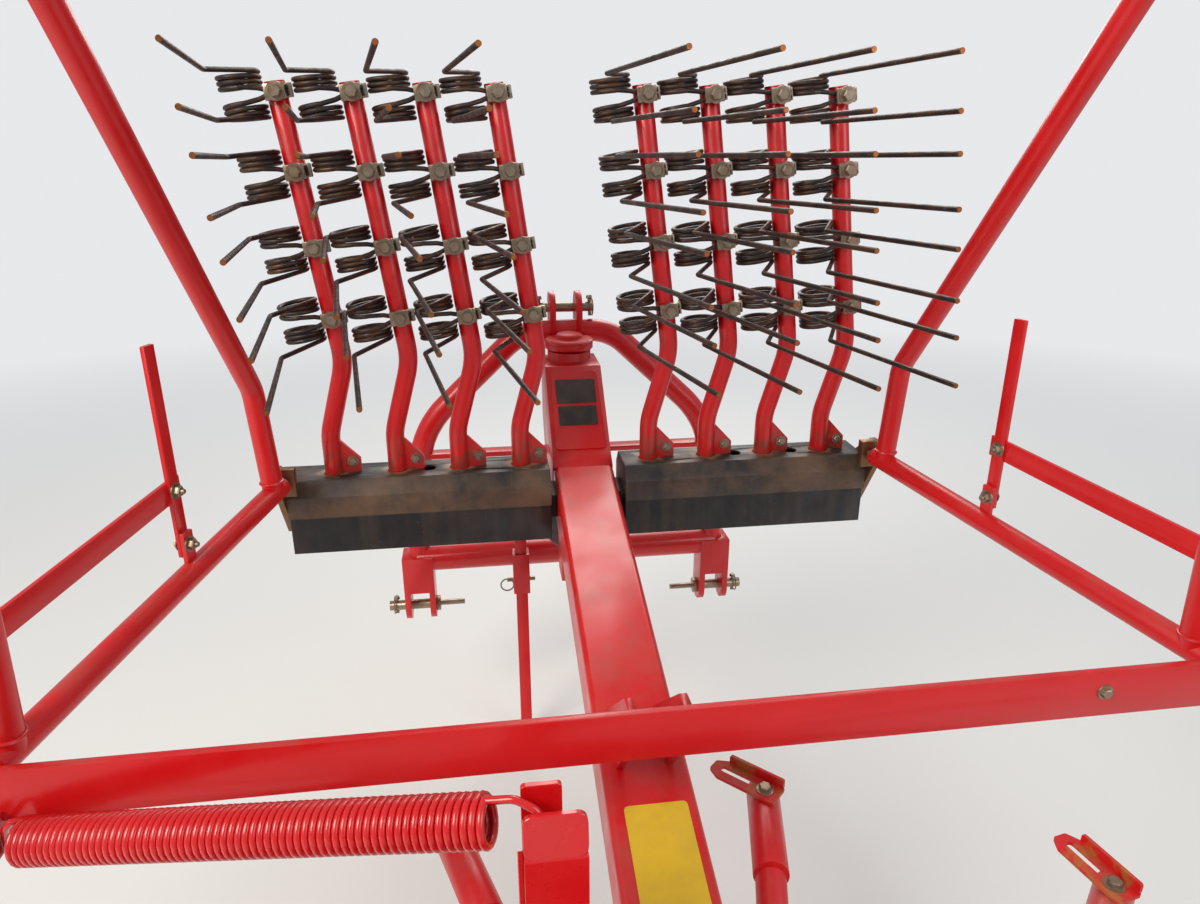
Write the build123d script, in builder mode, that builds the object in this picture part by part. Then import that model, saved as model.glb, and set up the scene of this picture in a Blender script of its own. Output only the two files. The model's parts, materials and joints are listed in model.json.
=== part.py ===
from build123d import *
from math import atan2, cos, degrees, pi, radians, sin, tan
import os

# Single rotor rake, parked with its guards folded up and eight of its eleven tine arms stowed.
# X is to the right, Y is forwards to the tractor, Z is up and 0 is the ground. Millimetres.

# Places along the machine, measured forwards from the rotor's axis
rotor_y = -137.8
rack_dy = 1610.0
swivel_dy = 1940.0
hitch_dy = 2030.0
jack_dy = 1910.0
crossbar_dy = 735.0
post_dy = 500.0

# Main beam, a square hollow section that climbs towards the tractor
beam_width = 140.0
beam_height = 110.0
beam_wall = 8.0
beam_slope = 14.75
beam_top_at_rack = 945.0
beam_rear_dy = 190.0
beam_front_dy = 1640.0

# Neck and swivel bearing at the front of the beam
sleeve_radius = 56.0
sleeve_bottom_z = 872.0
sleeve_top_z = 1165.0
kingpin_radius = 30.0
running_gap = 0.1
seat_gap = 0.3

# Three-point headstock
lower_pin_z = 395.0
lower_pin_spacing = 870.0
cross_tube_z = 545.0
cross_tube_radius = 38.0
arch_tube_radius = 30.0
arch_shoulder_z = 930.0
arch_top_half_width = 120.0
yoke_plate = 16.0
yoke_gap = 54.0
yoke_width = 80.0
lower_pin_radius = 14.0
pin_washer = 3.0
pin_free_end = 45.0
top_link_z = 1255.0
top_link_gap = 54.0
top_link_plate = 16.0
top_link_bore = 12.75
shaft_z = 740.0
shaft_radius = 17.5
shaft_length = 90.0
shaft_guard_radius = 92.0
shaft_guard_length = 150.0

# Parking jack
jack_x = -145.0
jack_size = 32.0
jack_foot_size = 90.0
jack_foot_thickness = 8.0
jack_top_z = 740.0
jack_holder_wall = 6.0
jack_holder_height = 120.0

# Arm rack
rack_top_z = 980.0
rack_inner_x = 85.0
rack_outer_x = 655.0
rack_top_depth = 100.0
rack_cap_depth = 150.0
rack_chamfer_height = 30.0
rack_cap_height = 78.0
rack_height = 165.0
rack_skirt_inset = 10.0
rack_wall = 5.0
rack_hole_gap = 1.5
arm_first_x = 148.0
arm_pitch = 138.0
arms_each_side = 4

# Tine arm, described upright: across is to the right and up is along the arm
arm_radius = 20.0
arm_below = 180.0
arm_straight = 90.0
arm_elbow_across = 45.0
arm_elbow_up = 250.0
arm_tip_across = -28.0
arm_tip_up = 800.0
arm_foot_bend = 140.0
arm_elbow_bend = 160.0
lug_width = 40.0
lug_height = 95.0
lug_thickness = 10.0

# Double tines, four on each arm
tine_first_up = 347.0
tine_pitch = 144.5
tines_per_arm = 4
coil_radius = 42.0
coil_height = 37.0
coil_gap = 19.0
coil_sides = 10
wire_size = 9.5
knee_length = 130.0
knee_angle = 26.7
leg_length = 405.0
leg_angle = 8.5
clamp_width = 46.0
clamp_depth = 16.0
clamp_height = 34.0

# Rotor
arm_count = 11
rotor_angle = 14.0
rear_arm_slots = (4, 5, 6)
hub_radius = 280.0
hub_bottom_z = 325.0
hub_top_z = 430.0
stub_radius = 25.0
stub_root_z = 400.0
stub_end_z = 575.0
stub_end_r = 985.0
stub_sleeve_radius = 29.0
stub_sleeve_length = 190.0
stub_flange = 90.0
stub_flange_thickness = 12.0
column_radius = 60.0

# Gearbox, chassis and wheels
gearbox_radius = 150.0
gearbox_bottom_z = 445.0
gearbox_top_z = 580.0
chassis_z = 180.0
chassis_tube = 60.0
bogie_x = 300.0
wheel_x = 425.0
wheel_dy = 265.0
wheel_radius = 180.0
tyre_width = 130.0
rim_radius = 105.0
rim_width = 90.0
axle_radius = 15.0
hub_boss_radius = 32.0

# Side guards, each hinged along its own rail
rail_radius = 21.0
rail_front = (650.0, 1490.0, 1000.0)
rail_rear = (866.0, 760.0, 921.0)
pivot_pin_radius = 10.0
pivot_pin_depth = 60.0
hoop_foot = 30.0
hoop_kink = (672.0, 1462.0, 1215.0)
hoop_top_front = (765.0, 940.0, 2030.0)
hoop_top_rear = (800.0, 780.0, 2030.0)
hoop_bend = 70.0
flat_thickness = 8.0
flat_width = 40.0
upright_width = 25.0
upright_dy = 1190.0
upright_bottom = 30.0
upright_top = 400.0
lug_top = 75.0
flat_rail_rise = 150.0
flat_rail_end_dy = 590.0

# Crossbar, spring post and spring
crossbar_half = 930.0
crossbar_height = 76.0
crossbar_thickness = 12.0
crossbar_z = 900.0
bracket_reach = 220.0
spring_lug_width = 52.0
spring_lug_height = 50.0
spring_lug_plate = 10.0
post_x = -170.0
post_width = 70.0
post_top_z = 985.0
spring_radius = 29.0
spring_wire = 9.0
spring_left = (-850.0, 708.0, 848.0)
spring_right_z = 962.0
spring_hook = 62.0

os.makedirs("parts", exist_ok=True)


def at(x, dy, z):
    """A point given by its distance forward of the rotor's axis."""
    return Vector(x, rotor_y + dy, z)


def beam_top(dy):
    """Height of the beam's top face at a distance forward of the rotor's axis."""
    return beam_top_at_rack + (dy - rack_dy) * tan(radians(beam_slope))


def beam_plane(dy):
    """Cross-section plane of the beam, centred in its top face, looking up the slope."""
    slope = radians(beam_slope)
    return Plane(origin=at(0, dy, beam_top(dy)), x_dir=(1, 0, 0), z_dir=(0, cos(slope), sin(slope)))


def path_plane(wire, share=0.0):
    """Plane square to a path, at a share of its length."""
    return Plane(origin=wire @ share, z_dir=wire % share)


def strip(points, width):
    """Outline of a bar of constant width along a few (x, y) points, with mitred corners."""
    left, right = [], []
    for place, point in enumerate(points):
        before = (point - points[place - 1]).normalized() if place else (points[1] - point).normalized()
        after = (points[place + 1] - point).normalized() if place + 1 < len(points) else before
        along = (before + after).normalized()
        reach = width / 2 / along.dot(before)
        across = Vector(-along.Y, along.X) * reach
        left.append(point + across)
        right.append(point - across)
    return left + right[::-1]


def save(builder, name):
    builder.part.label = name
    export_step(builder.part, "parts/" + name + ".step")


# Main beam
beam_run = (beam_front_dy - beam_rear_dy) / cos(radians(beam_slope))
with BuildPart() as beam:
    with BuildSketch(beam_plane(beam_rear_dy)):
        with Locations((0, beam_height / 2)):
            RectangleRounded(beam_width, beam_height, 12)
            RectangleRounded(beam_width - 2 * beam_wall, beam_height - 2 * beam_wall, 6, mode=Mode.SUBTRACT)
    extrude(amount=beam_run)
save(beam, "beam")


def side_profile(points, half_width, middle=0.0):
    """Solid drawn in side view as (dy, z) points and spread evenly about its middle."""
    with BuildPart() as piece:
        with BuildSketch(Plane.YZ.offset(middle)):
            with BuildLine():
                Polyline([(rotor_y + dy, z) for dy, z in points], close=True)
            make_face()
        extrude(amount=half_width, both=True)
    return piece.part


def beam_end(dy):
    """Top and bottom corners of the beam's cut face, as (dy, z)."""
    slope = radians(beam_slope)
    top = (dy, beam_top(dy))
    bottom = (dy + beam_height * sin(slope), beam_top(dy) - beam_height * cos(slope))
    return top, bottom


# Neck that rises from the beam to the swivel bearing
neck_top, neck_bottom = beam_end(beam_front_dy)
with BuildPart() as neck:
    add(side_profile([
        neck_top,
        (neck_top[0] + 28, neck_top[1] + 20),
        (swivel_dy - 90, sleeve_top_z - 22),
        (swivel_dy + 40, sleeve_top_z - 22),
        (swivel_dy + 40, sleeve_bottom_z + 110),
        (swivel_dy - 40, sleeve_bottom_z + 10),
        neck_bottom,
    ], beam_width / 2))
    with BuildSketch(Plane.XY.offset(sleeve_bottom_z)):
        with Locations((0, rotor_y + swivel_dy)):
            Circle(sleeve_radius)
    extrude(amount=sleeve_top_z - sleeve_bottom_z)
    with BuildSketch(Plane.XY.offset(sleeve_bottom_z)):
        with Locations((0, rotor_y + swivel_dy)):
            Circle(kingpin_radius + running_gap)
    extrude(amount=sleeve_top_z - sleeve_bottom_z, mode=Mode.SUBTRACT)
save(neck, "neck")

# Input housing under the beam's front end, with the splined shaft and its guard
housing_top_rear = beam_end(rack_dy - 90)[1]
housing_front_dy = neck_bottom[0]
with BuildPart() as input_housing:
    add(side_profile([
        housing_top_rear,
        neck_bottom,
        (housing_front_dy, shaft_z - 60),
        (housing_top_rear[0] + 40, shaft_z - 60),
    ], 60))
save(input_housing, "input_housing")

with BuildPart() as input_shaft:
    with BuildSketch(Plane(origin=at(0, housing_front_dy, shaft_z), z_dir=(0, 1, 0))):
        Circle(shaft_radius)
    extrude(amount=shaft_length)
save(input_shaft, "input_shaft")

with BuildPart() as shaft_guard:
    with BuildSketch(Plane.YZ):
        with BuildLine():
            front = rotor_y + housing_front_dy
            Polyline(
                (front, shaft_z + 50),
                (front + shaft_guard_length, shaft_z + shaft_guard_radius),
                (front + shaft_guard_length, shaft_z + shaft_guard_radius - 5),
                (front + 4, shaft_z + 46),
                (front + 4, shaft_z + shaft_radius + 1),
                (front, shaft_z + shaft_radius + 1),
                close=True,
            )
        make_face()
    revolve(axis=Axis((0, 0, shaft_z), (0, 1, 0)))
save(shaft_guard, "shaft_guard")


# Headstock: arch, cross tubes, king pin, yokes, top link ears and the jack's holder
def headstock_plate(z, thickness, radius, half_width):
    """Plate from the king pin forward to the arch."""
    with BuildPart() as plate:
        with BuildSketch(Plane.XY.offset(z)):
            with Locations((0, rotor_y + swivel_dy)):
                Circle(radius)
            with Locations((0, rotor_y + (swivel_dy + hitch_dy) / 2)):
                Rectangle(2 * half_width, hitch_dy - swivel_dy)
        extrude(amount=thickness)
    return plate.part


arch_top_z = sleeve_top_z + 30
yoke_top_z = cross_tube_z + 15
lower_plate_z = sleeve_bottom_z - 20
holder_outer = jack_size / 2 + 0.5 + jack_holder_wall
hitch_y = rotor_y + hitch_dy
with BuildPart() as headstock:
    with BuildLine() as arch_path:
        FilletPolyline(
            (-lower_pin_spacing / 2, hitch_y, yoke_top_z - 40),
            (-lower_pin_spacing / 2 + 35, hitch_y, arch_shoulder_z),
            (-arch_top_half_width, hitch_y, arch_top_z),
            (arch_top_half_width, hitch_y, arch_top_z),
            (lower_pin_spacing / 2 - 35, hitch_y, arch_shoulder_z),
            (lower_pin_spacing / 2, hitch_y, yoke_top_z - 40),
            radius=[260, 140, 140, 260],
        )
    with BuildSketch(path_plane(arch_path.line)):
        Circle(arch_tube_radius)
    sweep(path=arch_path.line)
    with BuildSketch(Plane.YZ.offset(-lower_pin_spacing / 2)):
        with Locations((hitch_y, cross_tube_z)):
            Circle(cross_tube_radius)
    extrude(amount=lower_pin_spacing)
    with BuildSketch(Plane.XY.offset(lower_plate_z)):
        with Locations((0, hitch_y)):
            Rectangle(lower_pin_spacing - 50, 40)
    extrude(amount=14)
    add(headstock_plate(lower_plate_z, 14, kingpin_radius + 20, 45))
    add(headstock_plate(sleeve_top_z + 6, 14, sleeve_radius + 6, 50))
    with BuildSketch(Plane.XY.offset(lower_plate_z)):
        with Locations((0, rotor_y + swivel_dy)):
            Circle(kingpin_radius)
    extrude(amount=sleeve_top_z + 20 - lower_plate_z)
    for side in (-1, 1):
        with BuildSketch(Plane.YZ.offset(side * lower_pin_spacing / 2)):
            with Locations((hitch_y, (yoke_top_z + lower_pin_z) / 2)):
                Rectangle(yoke_width, yoke_top_z - lower_pin_z)
            with Locations((hitch_y, lower_pin_z)):
                Circle(yoke_width / 2)
        extrude(amount=yoke_gap / 2 + yoke_plate, both=True)
        with BuildSketch(Plane.YZ.offset(side * lower_pin_spacing / 2)):
            with Locations((hitch_y, lower_pin_z - 5)):
                Rectangle(yoke_width + 2, 2 * yoke_width - 40)
        extrude(amount=yoke_gap / 2, both=True, mode=Mode.SUBTRACT)
        with BuildSketch(Plane.YZ.offset(side * lower_pin_spacing / 2)):
            with Locations((hitch_y, lower_pin_z)):
                Circle(lower_pin_radius + running_gap)
        extrude(amount=yoke_gap, both=True, mode=Mode.SUBTRACT)
        with BuildSketch(Plane.YZ.offset(side * (top_link_gap + top_link_plate) / 2)):
            with Locations((hitch_y + 10, (top_link_z + arch_top_z) / 2)):
                Rectangle(90, top_link_z - arch_top_z)
            with Locations((hitch_y + 10, top_link_z)):
                Circle(45)
            with Locations((hitch_y + 20, top_link_z)):
                Circle(top_link_bore + running_gap, mode=Mode.SUBTRACT)
        extrude(amount=top_link_plate / 2, both=True)
    with BuildSketch(Plane.XY.offset(cross_tube_z - jack_holder_height / 2)):
        with Locations((jack_x, rotor_y + jack_dy)):
            Rectangle(2 * holder_outer, 2 * holder_outer)
        with Locations((jack_x, rotor_y + (jack_dy + hitch_dy) / 2)):
            Rectangle(20, hitch_dy - jack_dy)
        with Locations((jack_x, rotor_y + jack_dy)):
            Rectangle(jack_size + 1, jack_size + 1, mode=Mode.SUBTRACT)
    extrude(amount=jack_holder_height)
save(headstock, "headstock")

# Lower hitch pins, with a shoulder inside, a washer outside and a free end for the linch pin
with BuildPart() as lower_pins:
    for side in (-1, 1):
        inner = side * (lower_pin_spacing / 2 - yoke_gap / 2 - yoke_plate)
        with BuildSketch(Plane.YZ.offset(inner)):
            with Locations((hitch_y, lower_pin_z)):
                Circle(lower_pin_radius)
        extrude(amount=side * (yoke_gap + 2 * yoke_plate + seat_gap + pin_washer + pin_free_end))
        with BuildSketch(Plane.YZ.offset(inner + side * (yoke_gap + 2 * yoke_plate + seat_gap))):
            with Locations((hitch_y, lower_pin_z)):
                Circle(lower_pin_radius + 8)
        extrude(amount=side * pin_washer)
        with BuildSketch(Plane.YZ.offset(inner)):
            with Locations((hitch_y, lower_pin_z)):
                Circle(lower_pin_radius + 8)
        extrude(amount=-side * 12)
        with BuildSketch(Plane.YZ.offset(inner - side * 12)):
            with Locations((hitch_y, lower_pin_z)):
                Circle(8)
        extrude(amount=-side * 70)
save(lower_pins, "lower_pins")

with BuildPart() as top_link_pin:
    with BuildSketch(Plane.YZ):
        with Locations((hitch_y + 20, top_link_z)):
            Circle(top_link_bore)
    extrude(amount=top_link_gap / 2 + top_link_plate + 35, both=True)
save(top_link_pin, "top_link_pin")

# Parking jack
with BuildPart() as jack_leg:
    with BuildSketch(Plane.XY):
        with Locations((jack_x, rotor_y + jack_dy)):
            Rectangle(jack_foot_size, jack_foot_size)
    extrude(amount=jack_foot_thickness)
    with BuildSketch(Plane.XY):
        with Locations((jack_x, rotor_y + jack_dy)):
            Rectangle(jack_size, jack_size)
    extrude(amount=jack_top_z)
save(jack_leg, "jack_leg")

# Arm racks, two folded boxes with a chamfered cap over a narrower skirt
rack_y = rotor_y + rack_dy
rack_bottom_z = rack_top_z - rack_height
arm_places = [arm_first_x + arm_pitch * step for step in range(arms_each_side)]


def rack_outline():
    half_cap = rack_cap_depth / 2
    half_skirt = half_cap - rack_skirt_inset
    cap_foot_z = rack_top_z - rack_cap_height
    shoulder_z = rack_top_z - rack_chamfer_height
    right = [
        (rack_top_depth / 2, rack_top_z),
        (half_cap, shoulder_z),
        (half_cap, cap_foot_z),
        (half_skirt, cap_foot_z),
        (half_skirt, rack_bottom_z),
    ]
    left = [(-across, z) for across, z in reversed(right)]
    return [(rack_y + across, z) for across, z in right + left]


# Each rack's side of the beam and the gaps between arms that have a spare hole
for rack_name, side, spare_gaps in (("rack_left", -1, (2,)), ("rack_right", 1, (2, 3))):
    with BuildPart() as rack:
        with BuildSketch(Plane.YZ.offset(side * rack_inner_x)):
            with BuildLine():
                Polyline(rack_outline(), close=True)
            make_face()
        extrude(amount=side * (rack_outer_x - rack_inner_x))
        with BuildSketch(Plane.YZ.offset(side * (rack_inner_x + rack_wall))):
            with BuildLine():
                Polyline(rack_outline(), close=True)
            make_face()
            offset(amount=-rack_wall, mode=Mode.REPLACE)
        extrude(amount=side * (rack_outer_x - rack_inner_x - 2 * rack_wall), mode=Mode.SUBTRACT)
        with BuildSketch(Plane.XY.offset(rack_bottom_z)):
            with Locations([(side * place, rack_y) for place in arm_places]):
                Circle(arm_radius + rack_hole_gap)
        extrude(amount=rack_height, mode=Mode.SUBTRACT)
        with BuildSketch(Plane.XY.offset(rack_top_z - rack_wall)):
            with Locations([(side * (arm_first_x + arm_pitch * (gap - 0.5)), rack_y) for gap in spare_gaps]):
                Circle(16)
        extrude(amount=rack_wall, mode=Mode.SUBTRACT)
    save(rack, rack_name)

# Plates between the beam's sides and the racks
with BuildPart() as rack_plates:
    for side in (-1, 1):
        with BuildSketch(Plane.YZ.offset(side * beam_width / 2)):
            with Locations((rack_y, beam_top_at_rack - beam_height / 2 - 2)):
                Rectangle(90, 54)
        extrude(amount=side * (rack_inner_x - beam_width / 2))
save(rack_plates, "rack_plates")

# One tine arm, upright with its foot's seat at the origin
with BuildPart() as tine_arm:
    with BuildLine() as arm_path:
        FilletPolyline(
            (0, 0, -arm_below),
            (0, 0, arm_straight),
            (arm_elbow_across, 0, arm_elbow_up),
            (arm_tip_across, 0, arm_tip_up),
            radius=[arm_foot_bend, arm_elbow_bend],
        )
    with BuildSketch(path_plane(arm_path.line)):
        Circle(arm_radius)
    sweep(path=arm_path.line)
    with BuildSketch(Plane.XZ):
        with BuildLine():
            Polyline(
                (0, seat_gap),
                (arm_radius + lug_width, seat_gap),
                (arm_radius + lug_width, lug_height / 3),
                (0, lug_height),
                close=True,
            )
        make_face()
    extrude(amount=lug_thickness / 2, both=True)

# One double tine about the arm's axis: two coils, a bridge, a clamp and two kneed legs towards -Y
coil_x = -(arm_radius + coil_radius + 2)
coil_middle = coil_radius - wire_size / 2
knee = radians(knee_angle)
leg = radians(leg_angle)
tine_start = Vector(coil_x + coil_middle * cos(knee), -coil_middle * sin(knee))
tine_knee = tine_start + Vector(-knee_length * sin(knee), -knee_length * cos(knee))
tine_tip = tine_knee + Vector(leg_length * sin(leg), -leg_length * cos(leg))
with BuildPart() as double_tine:
    for side in (-1, 1):
        with BuildSketch(Plane.XY.offset(side * coil_gap / 2)):
            with Locations((coil_x, 0)):
                RegularPolygon(coil_radius, coil_sides)
        extrude(amount=side * coil_height)
        with BuildSketch(Plane.XY.offset(side * (coil_gap / 2 + coil_height))):
            with BuildLine():
                Polyline(strip([tine_start, tine_knee, tine_tip], wire_size), close=True)
            make_face()
        extrude(amount=-side * wire_size)
    clamp_face = -(arm_radius + seat_gap)
    with BuildSketch(Plane.XY):
        with Locations((clamp_width / 2 - 18, clamp_face - clamp_depth / 2)):
            Rectangle(clamp_width, clamp_depth)
        with Locations(((coil_x - 18) / 2, clamp_face - clamp_depth / 2)):
            Rectangle(-18 - coil_x + 2, clamp_depth)
    extrude(amount=clamp_height / 2, both=True)

arm_lean = atan2(arm_tip_across - arm_elbow_across, arm_tip_up - arm_elbow_up)
tine_seats = []
for step in range(tines_per_arm):
    up = tine_first_up + step * tine_pitch
    across = arm_elbow_across + (up - arm_elbow_up) * tan(arm_lean)
    tine_seats.append(Location((across, 0, up), (0, degrees(arm_lean), 0)))


def stowed(place):
    """Where an arm stands in its rack."""
    return Location((place, rack_y, rack_top_z))


def on_rotor(slot):
    """Where an arm is plugged into the rotor, turned with its tines down."""
    turn = radians(rotor_angle + slot * 360 / arm_count)
    origin = Vector(stub_end_r * sin(turn), rotor_y + stub_end_r * cos(turn), stub_end_z)
    return Plane(origin=origin, x_dir=(-cos(turn), sin(turn), 0), z_dir=(sin(turn), cos(turn), 0)).location


stowed_places = [side * place for side in (-1, 1) for place in arm_places]
with BuildPart() as stowed_arms:
    add([tine_arm.part.moved(stowed(place)) for place in stowed_places])
save(stowed_arms, "stowed_arms")

for node_name, side in (("stowed_tines_left", -1), ("stowed_tines_right", 1)):
    with BuildPart() as stowed_tines:
        add([double_tine.part.moved(stowed(side * place) * seat) for place in arm_places for seat in tine_seats])
    save(stowed_tines, node_name)

with BuildPart() as rotor_arms:
    add([tine_arm.part.moved(on_rotor(slot)) for slot in rear_arm_slots])
save(rotor_arms, "rotor_arms")

with BuildPart() as rotor_tines:
    add([double_tine.part.moved(on_rotor(slot) * seat) for slot in rear_arm_slots for seat in tine_seats])
save(rotor_tines, "rotor_tines")

# Rotor drum with a flat for each stub arm
with BuildPart() as rotor_drum:
    with BuildSketch(Plane.XY.offset(hub_bottom_z)):
        with Locations(Location((0, rotor_y), 90 - rotor_angle + 180 / arm_count)):
            RegularPolygon(hub_radius, arm_count, major_radius=False)
        with Locations((0, rotor_y)):
            Circle(column_radius + running_gap, mode=Mode.SUBTRACT)
    extrude(amount=hub_top_z - hub_bottom_z)
save(rotor_drum, "rotor_drum")

# One stub arm along +X from the rotor's axis: flange, rising tube and level socket
socket_r = stub_end_r - stub_sleeve_length
with BuildPart() as stub_arm:
    with BuildSketch(Plane.YZ.offset(hub_radius)):
        with Locations((0, (hub_bottom_z + hub_top_z) / 2)):
            Rectangle(stub_flange, stub_flange)
    extrude(amount=stub_flange_thickness)
    stub_rise = Vector(socket_r + 15 - hub_radius, 0, stub_end_z - stub_root_z - 4)
    with BuildSketch(Plane(origin=(hub_radius, 0, stub_root_z), z_dir=stub_rise)):
        Circle(stub_radius)
    extrude(amount=stub_rise.length)
    with BuildSketch(Plane.YZ):
        with Locations((0, stub_root_z)):
            Rectangle(3 * stub_radius, 3 * stub_radius)
    extrude(amount=hub_radius, mode=Mode.SUBTRACT)
    with BuildSketch(Plane.YZ.offset(socket_r)):
        with Locations((0, stub_end_z)):
            Circle(stub_sleeve_radius)
    extrude(amount=stub_sleeve_length)
    with BuildSketch(Plane.YZ.offset(stub_end_r)):
        with Locations((0, stub_end_z)):
            Circle(arm_radius + seat_gap)
    extrude(amount=-(arm_below + 2), mode=Mode.SUBTRACT)
with BuildPart() as stub_arms:
    for slot in range(arm_count):
        turn = 90 - rotor_angle - slot * 360 / arm_count
        add(stub_arm.part.moved(Location((0, rotor_y, 0), (0, 0, turn))))
save(stub_arms, "stub_arms")

# Gearbox on the beam's rear end, and the column that the rotor turns about
gear_top, gear_bottom = beam_end(beam_rear_dy)
with BuildPart() as gearbox:
    with BuildSketch(Plane.XY.offset(gearbox_bottom_z)):
        with Locations((0, rotor_y)):
            Circle(gearbox_radius)
    extrude(amount=gearbox_top_z - gearbox_bottom_z)
    fillet(gearbox.edges().filter_by(GeomType.CIRCLE).sort_by(Axis.Z)[-1], 20)
    add(side_profile([(0, gearbox_bottom_z), gear_bottom, gear_top, (0, gear_top[1])], beam_width / 2))
save(gearbox, "gearbox")

chassis_top_z = chassis_z + chassis_tube / 2
with BuildPart() as column:
    with BuildSketch(Plane.XY.offset(chassis_top_z)):
        with Locations((0, rotor_y)):
            Circle(column_radius)
    extrude(amount=gearbox_bottom_z - chassis_top_z)
    with BuildSketch(Plane.XY.offset(chassis_top_z)):
        with Locations((0, rotor_y)):
            Circle(column_radius + 35)
    extrude(amount=hub_bottom_z - 6 - chassis_top_z)
save(column, "column")

# Chassis: a cross tube, two bogie beams and four stub axles
with BuildPart() as chassis:
    with BuildSketch(Plane.XY.offset(chassis_z)):
        with Locations((0, rotor_y)):
            Rectangle(2 * bogie_x, chassis_tube)
            with Locations((-bogie_x, 0), (bogie_x, 0)):
                Rectangle(chassis_tube, 2 * wheel_dy + chassis_tube)
    extrude(amount=chassis_tube / 2, both=True)
    for side in (-1, 1):
        for end in (-1, 1):
            hub = (rotor_y + end * wheel_dy, wheel_radius)
            with BuildSketch(Plane.YZ.offset(side * bogie_x)):
                with Locations(hub):
                    Circle(axle_radius)
            extrude(amount=side * (wheel_x - bogie_x + tyre_width / 2 + 10))
            with BuildSketch(Plane.YZ.offset(side * (wheel_x + tyre_width / 2))):
                with Locations(hub):
                    Circle(axle_radius + 9)
            extrude(amount=side * 10)
save(chassis, "chassis")

# Wheels, each a tyre on a rim with its hub
rim_profile = [
    (-tyre_width / 2 + 2, axle_radius + running_gap),
    (-tyre_width / 2 + 2, hub_boss_radius),
    (-rim_width / 2, rim_radius),
    (rim_width / 2, rim_radius),
    (rim_width / 2, rim_radius - 10),
    (rim_width / 2 - 35, hub_boss_radius),
    (tyre_width / 2 - 2, hub_boss_radius),
    (tyre_width / 2 - 2, axle_radius + running_gap),
]
tyre_seat = rim_radius + seat_gap
tyre_profile = [
    (-rim_width / 2, tyre_seat),
    (-tyre_width / 2 + 5, tyre_seat + 14),
    (-tyre_width / 2, (rim_radius + wheel_radius) / 2 + 6),
    (-tyre_width / 2 + 24, wheel_radius),
    (tyre_width / 2 - 24, wheel_radius),
    (tyre_width / 2, (rim_radius + wheel_radius) / 2 + 6),
    (tyre_width / 2 - 5, tyre_seat + 14),
    (rim_width / 2, tyre_seat),
]
for end_name, end in (("front", 1), ("rear", -1)):
    for side_name, side in (("left", -1), ("right", 1)):
        axle_line = Axis((side * wheel_x, rotor_y + end * wheel_dy, wheel_radius), (1, 0, 0))
        wheel_plane = Plane(origin=axle_line.position, x_dir=(side, 0, 0), z_dir=(0, -side, 0))
        for kind, profile in (("rim", rim_profile), ("tyre", tyre_profile)):
            with BuildPart() as turned:
                with BuildSketch(wheel_plane):
                    with BuildLine():
                        Polyline(profile, close=True)
                    make_face()
                revolve(axis=axle_line)
            save(turned, kind + "_" + end_name + "_" + side_name)


# Side guards
def mirrored(place, side):
    """A (x, dy, z) place on the right, or its mirror on the left."""
    return at(side * place[0], place[1], place[2])


def on_line(start, end, dy):
    """Point of the line between two places at a distance forward of the rotor's axis."""
    share = (rotor_y + dy - start.Y) / (end.Y - start.Y)
    return start + (end - start) * share


for side_name, side in (("left", -1), ("right", 1)):
    front = mirrored(rail_front, side)
    rear = mirrored(rail_rear, side)
    along = (rear - front).normalized()
    with BuildPart() as rail:
        with BuildSketch(Plane(origin=front, z_dir=along)):
            Circle(rail_radius)
        extrude(amount=(rear - front).length)
        with BuildLine() as hoop_path:
            FilletPolyline(
                front + along * hoop_foot,
                mirrored(hoop_kink, side),
                mirrored(hoop_top_front, side),
                mirrored(hoop_top_rear, side),
                rear - along * hoop_foot,
                radius=[hoop_bend, hoop_bend, hoop_bend],
            )
        with BuildSketch(path_plane(hoop_path.line)):
            Circle(rail_radius)
        sweep(path=hoop_path.line)
        for end, inward in ((front, along), (rear, -along)):
            with BuildSketch(Plane(origin=end, z_dir=inward)):
                Circle(pivot_pin_radius + running_gap)
            extrude(amount=pivot_pin_depth + 5, mode=Mode.SUBTRACT)
        # Lug on the rail's top, its inner face over the rail's axis
        outward = along.cross(Vector(0, 0, 1)).normalized() * -side
        lug_plane = Plane(
            origin=on_line(front, rear, upright_dy),
            x_dir=Vector(along.X, along.Y, 0).normalized(),
            z_dir=outward,
        )
        rise = 1 if lug_plane.y_dir.Z > 0 else -1
        with BuildSketch(lug_plane):
            with Locations((0, rise * lug_top / 2)):
                Rectangle(upright_width, lug_top)
        extrude(amount=flat_thickness)
    save(rail, "guard_hoop_" + side_name)

    # The upright is bolted to the lug's outer face, and the flat rail to the upright's
    flats_plane = lug_plane.offset(flat_thickness + seat_gap)
    flat_run = on_line(front, rear, flat_rail_end_dy) - on_line(front, rear, upright_dy)
    with BuildPart() as flats:
        with BuildSketch(flats_plane):
            with Locations((0, rise * (upright_bottom + upright_top) / 2)):
                Rectangle(upright_width, upright_top - upright_bottom)
        extrude(amount=flat_thickness)
        with BuildSketch(flats_plane.offset(flat_thickness)):
            with BuildLine():
                fall = rise * along.Z / Vector(along.X, along.Y).length * flat_run.length
                low = rise * (flat_rail_rise - flat_width / 2)
                high = rise * (flat_rail_rise + flat_width / 2)
                Polyline(
                    (-upright_width, low),
                    (flat_run.length, low + fall),
                    (flat_run.length, high + fall),
                    (-upright_width, high),
                    close=True,
                )
            make_face()
        extrude(amount=flat_thickness)
    save(flats, "guard_flats_" + side_name)

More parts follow.
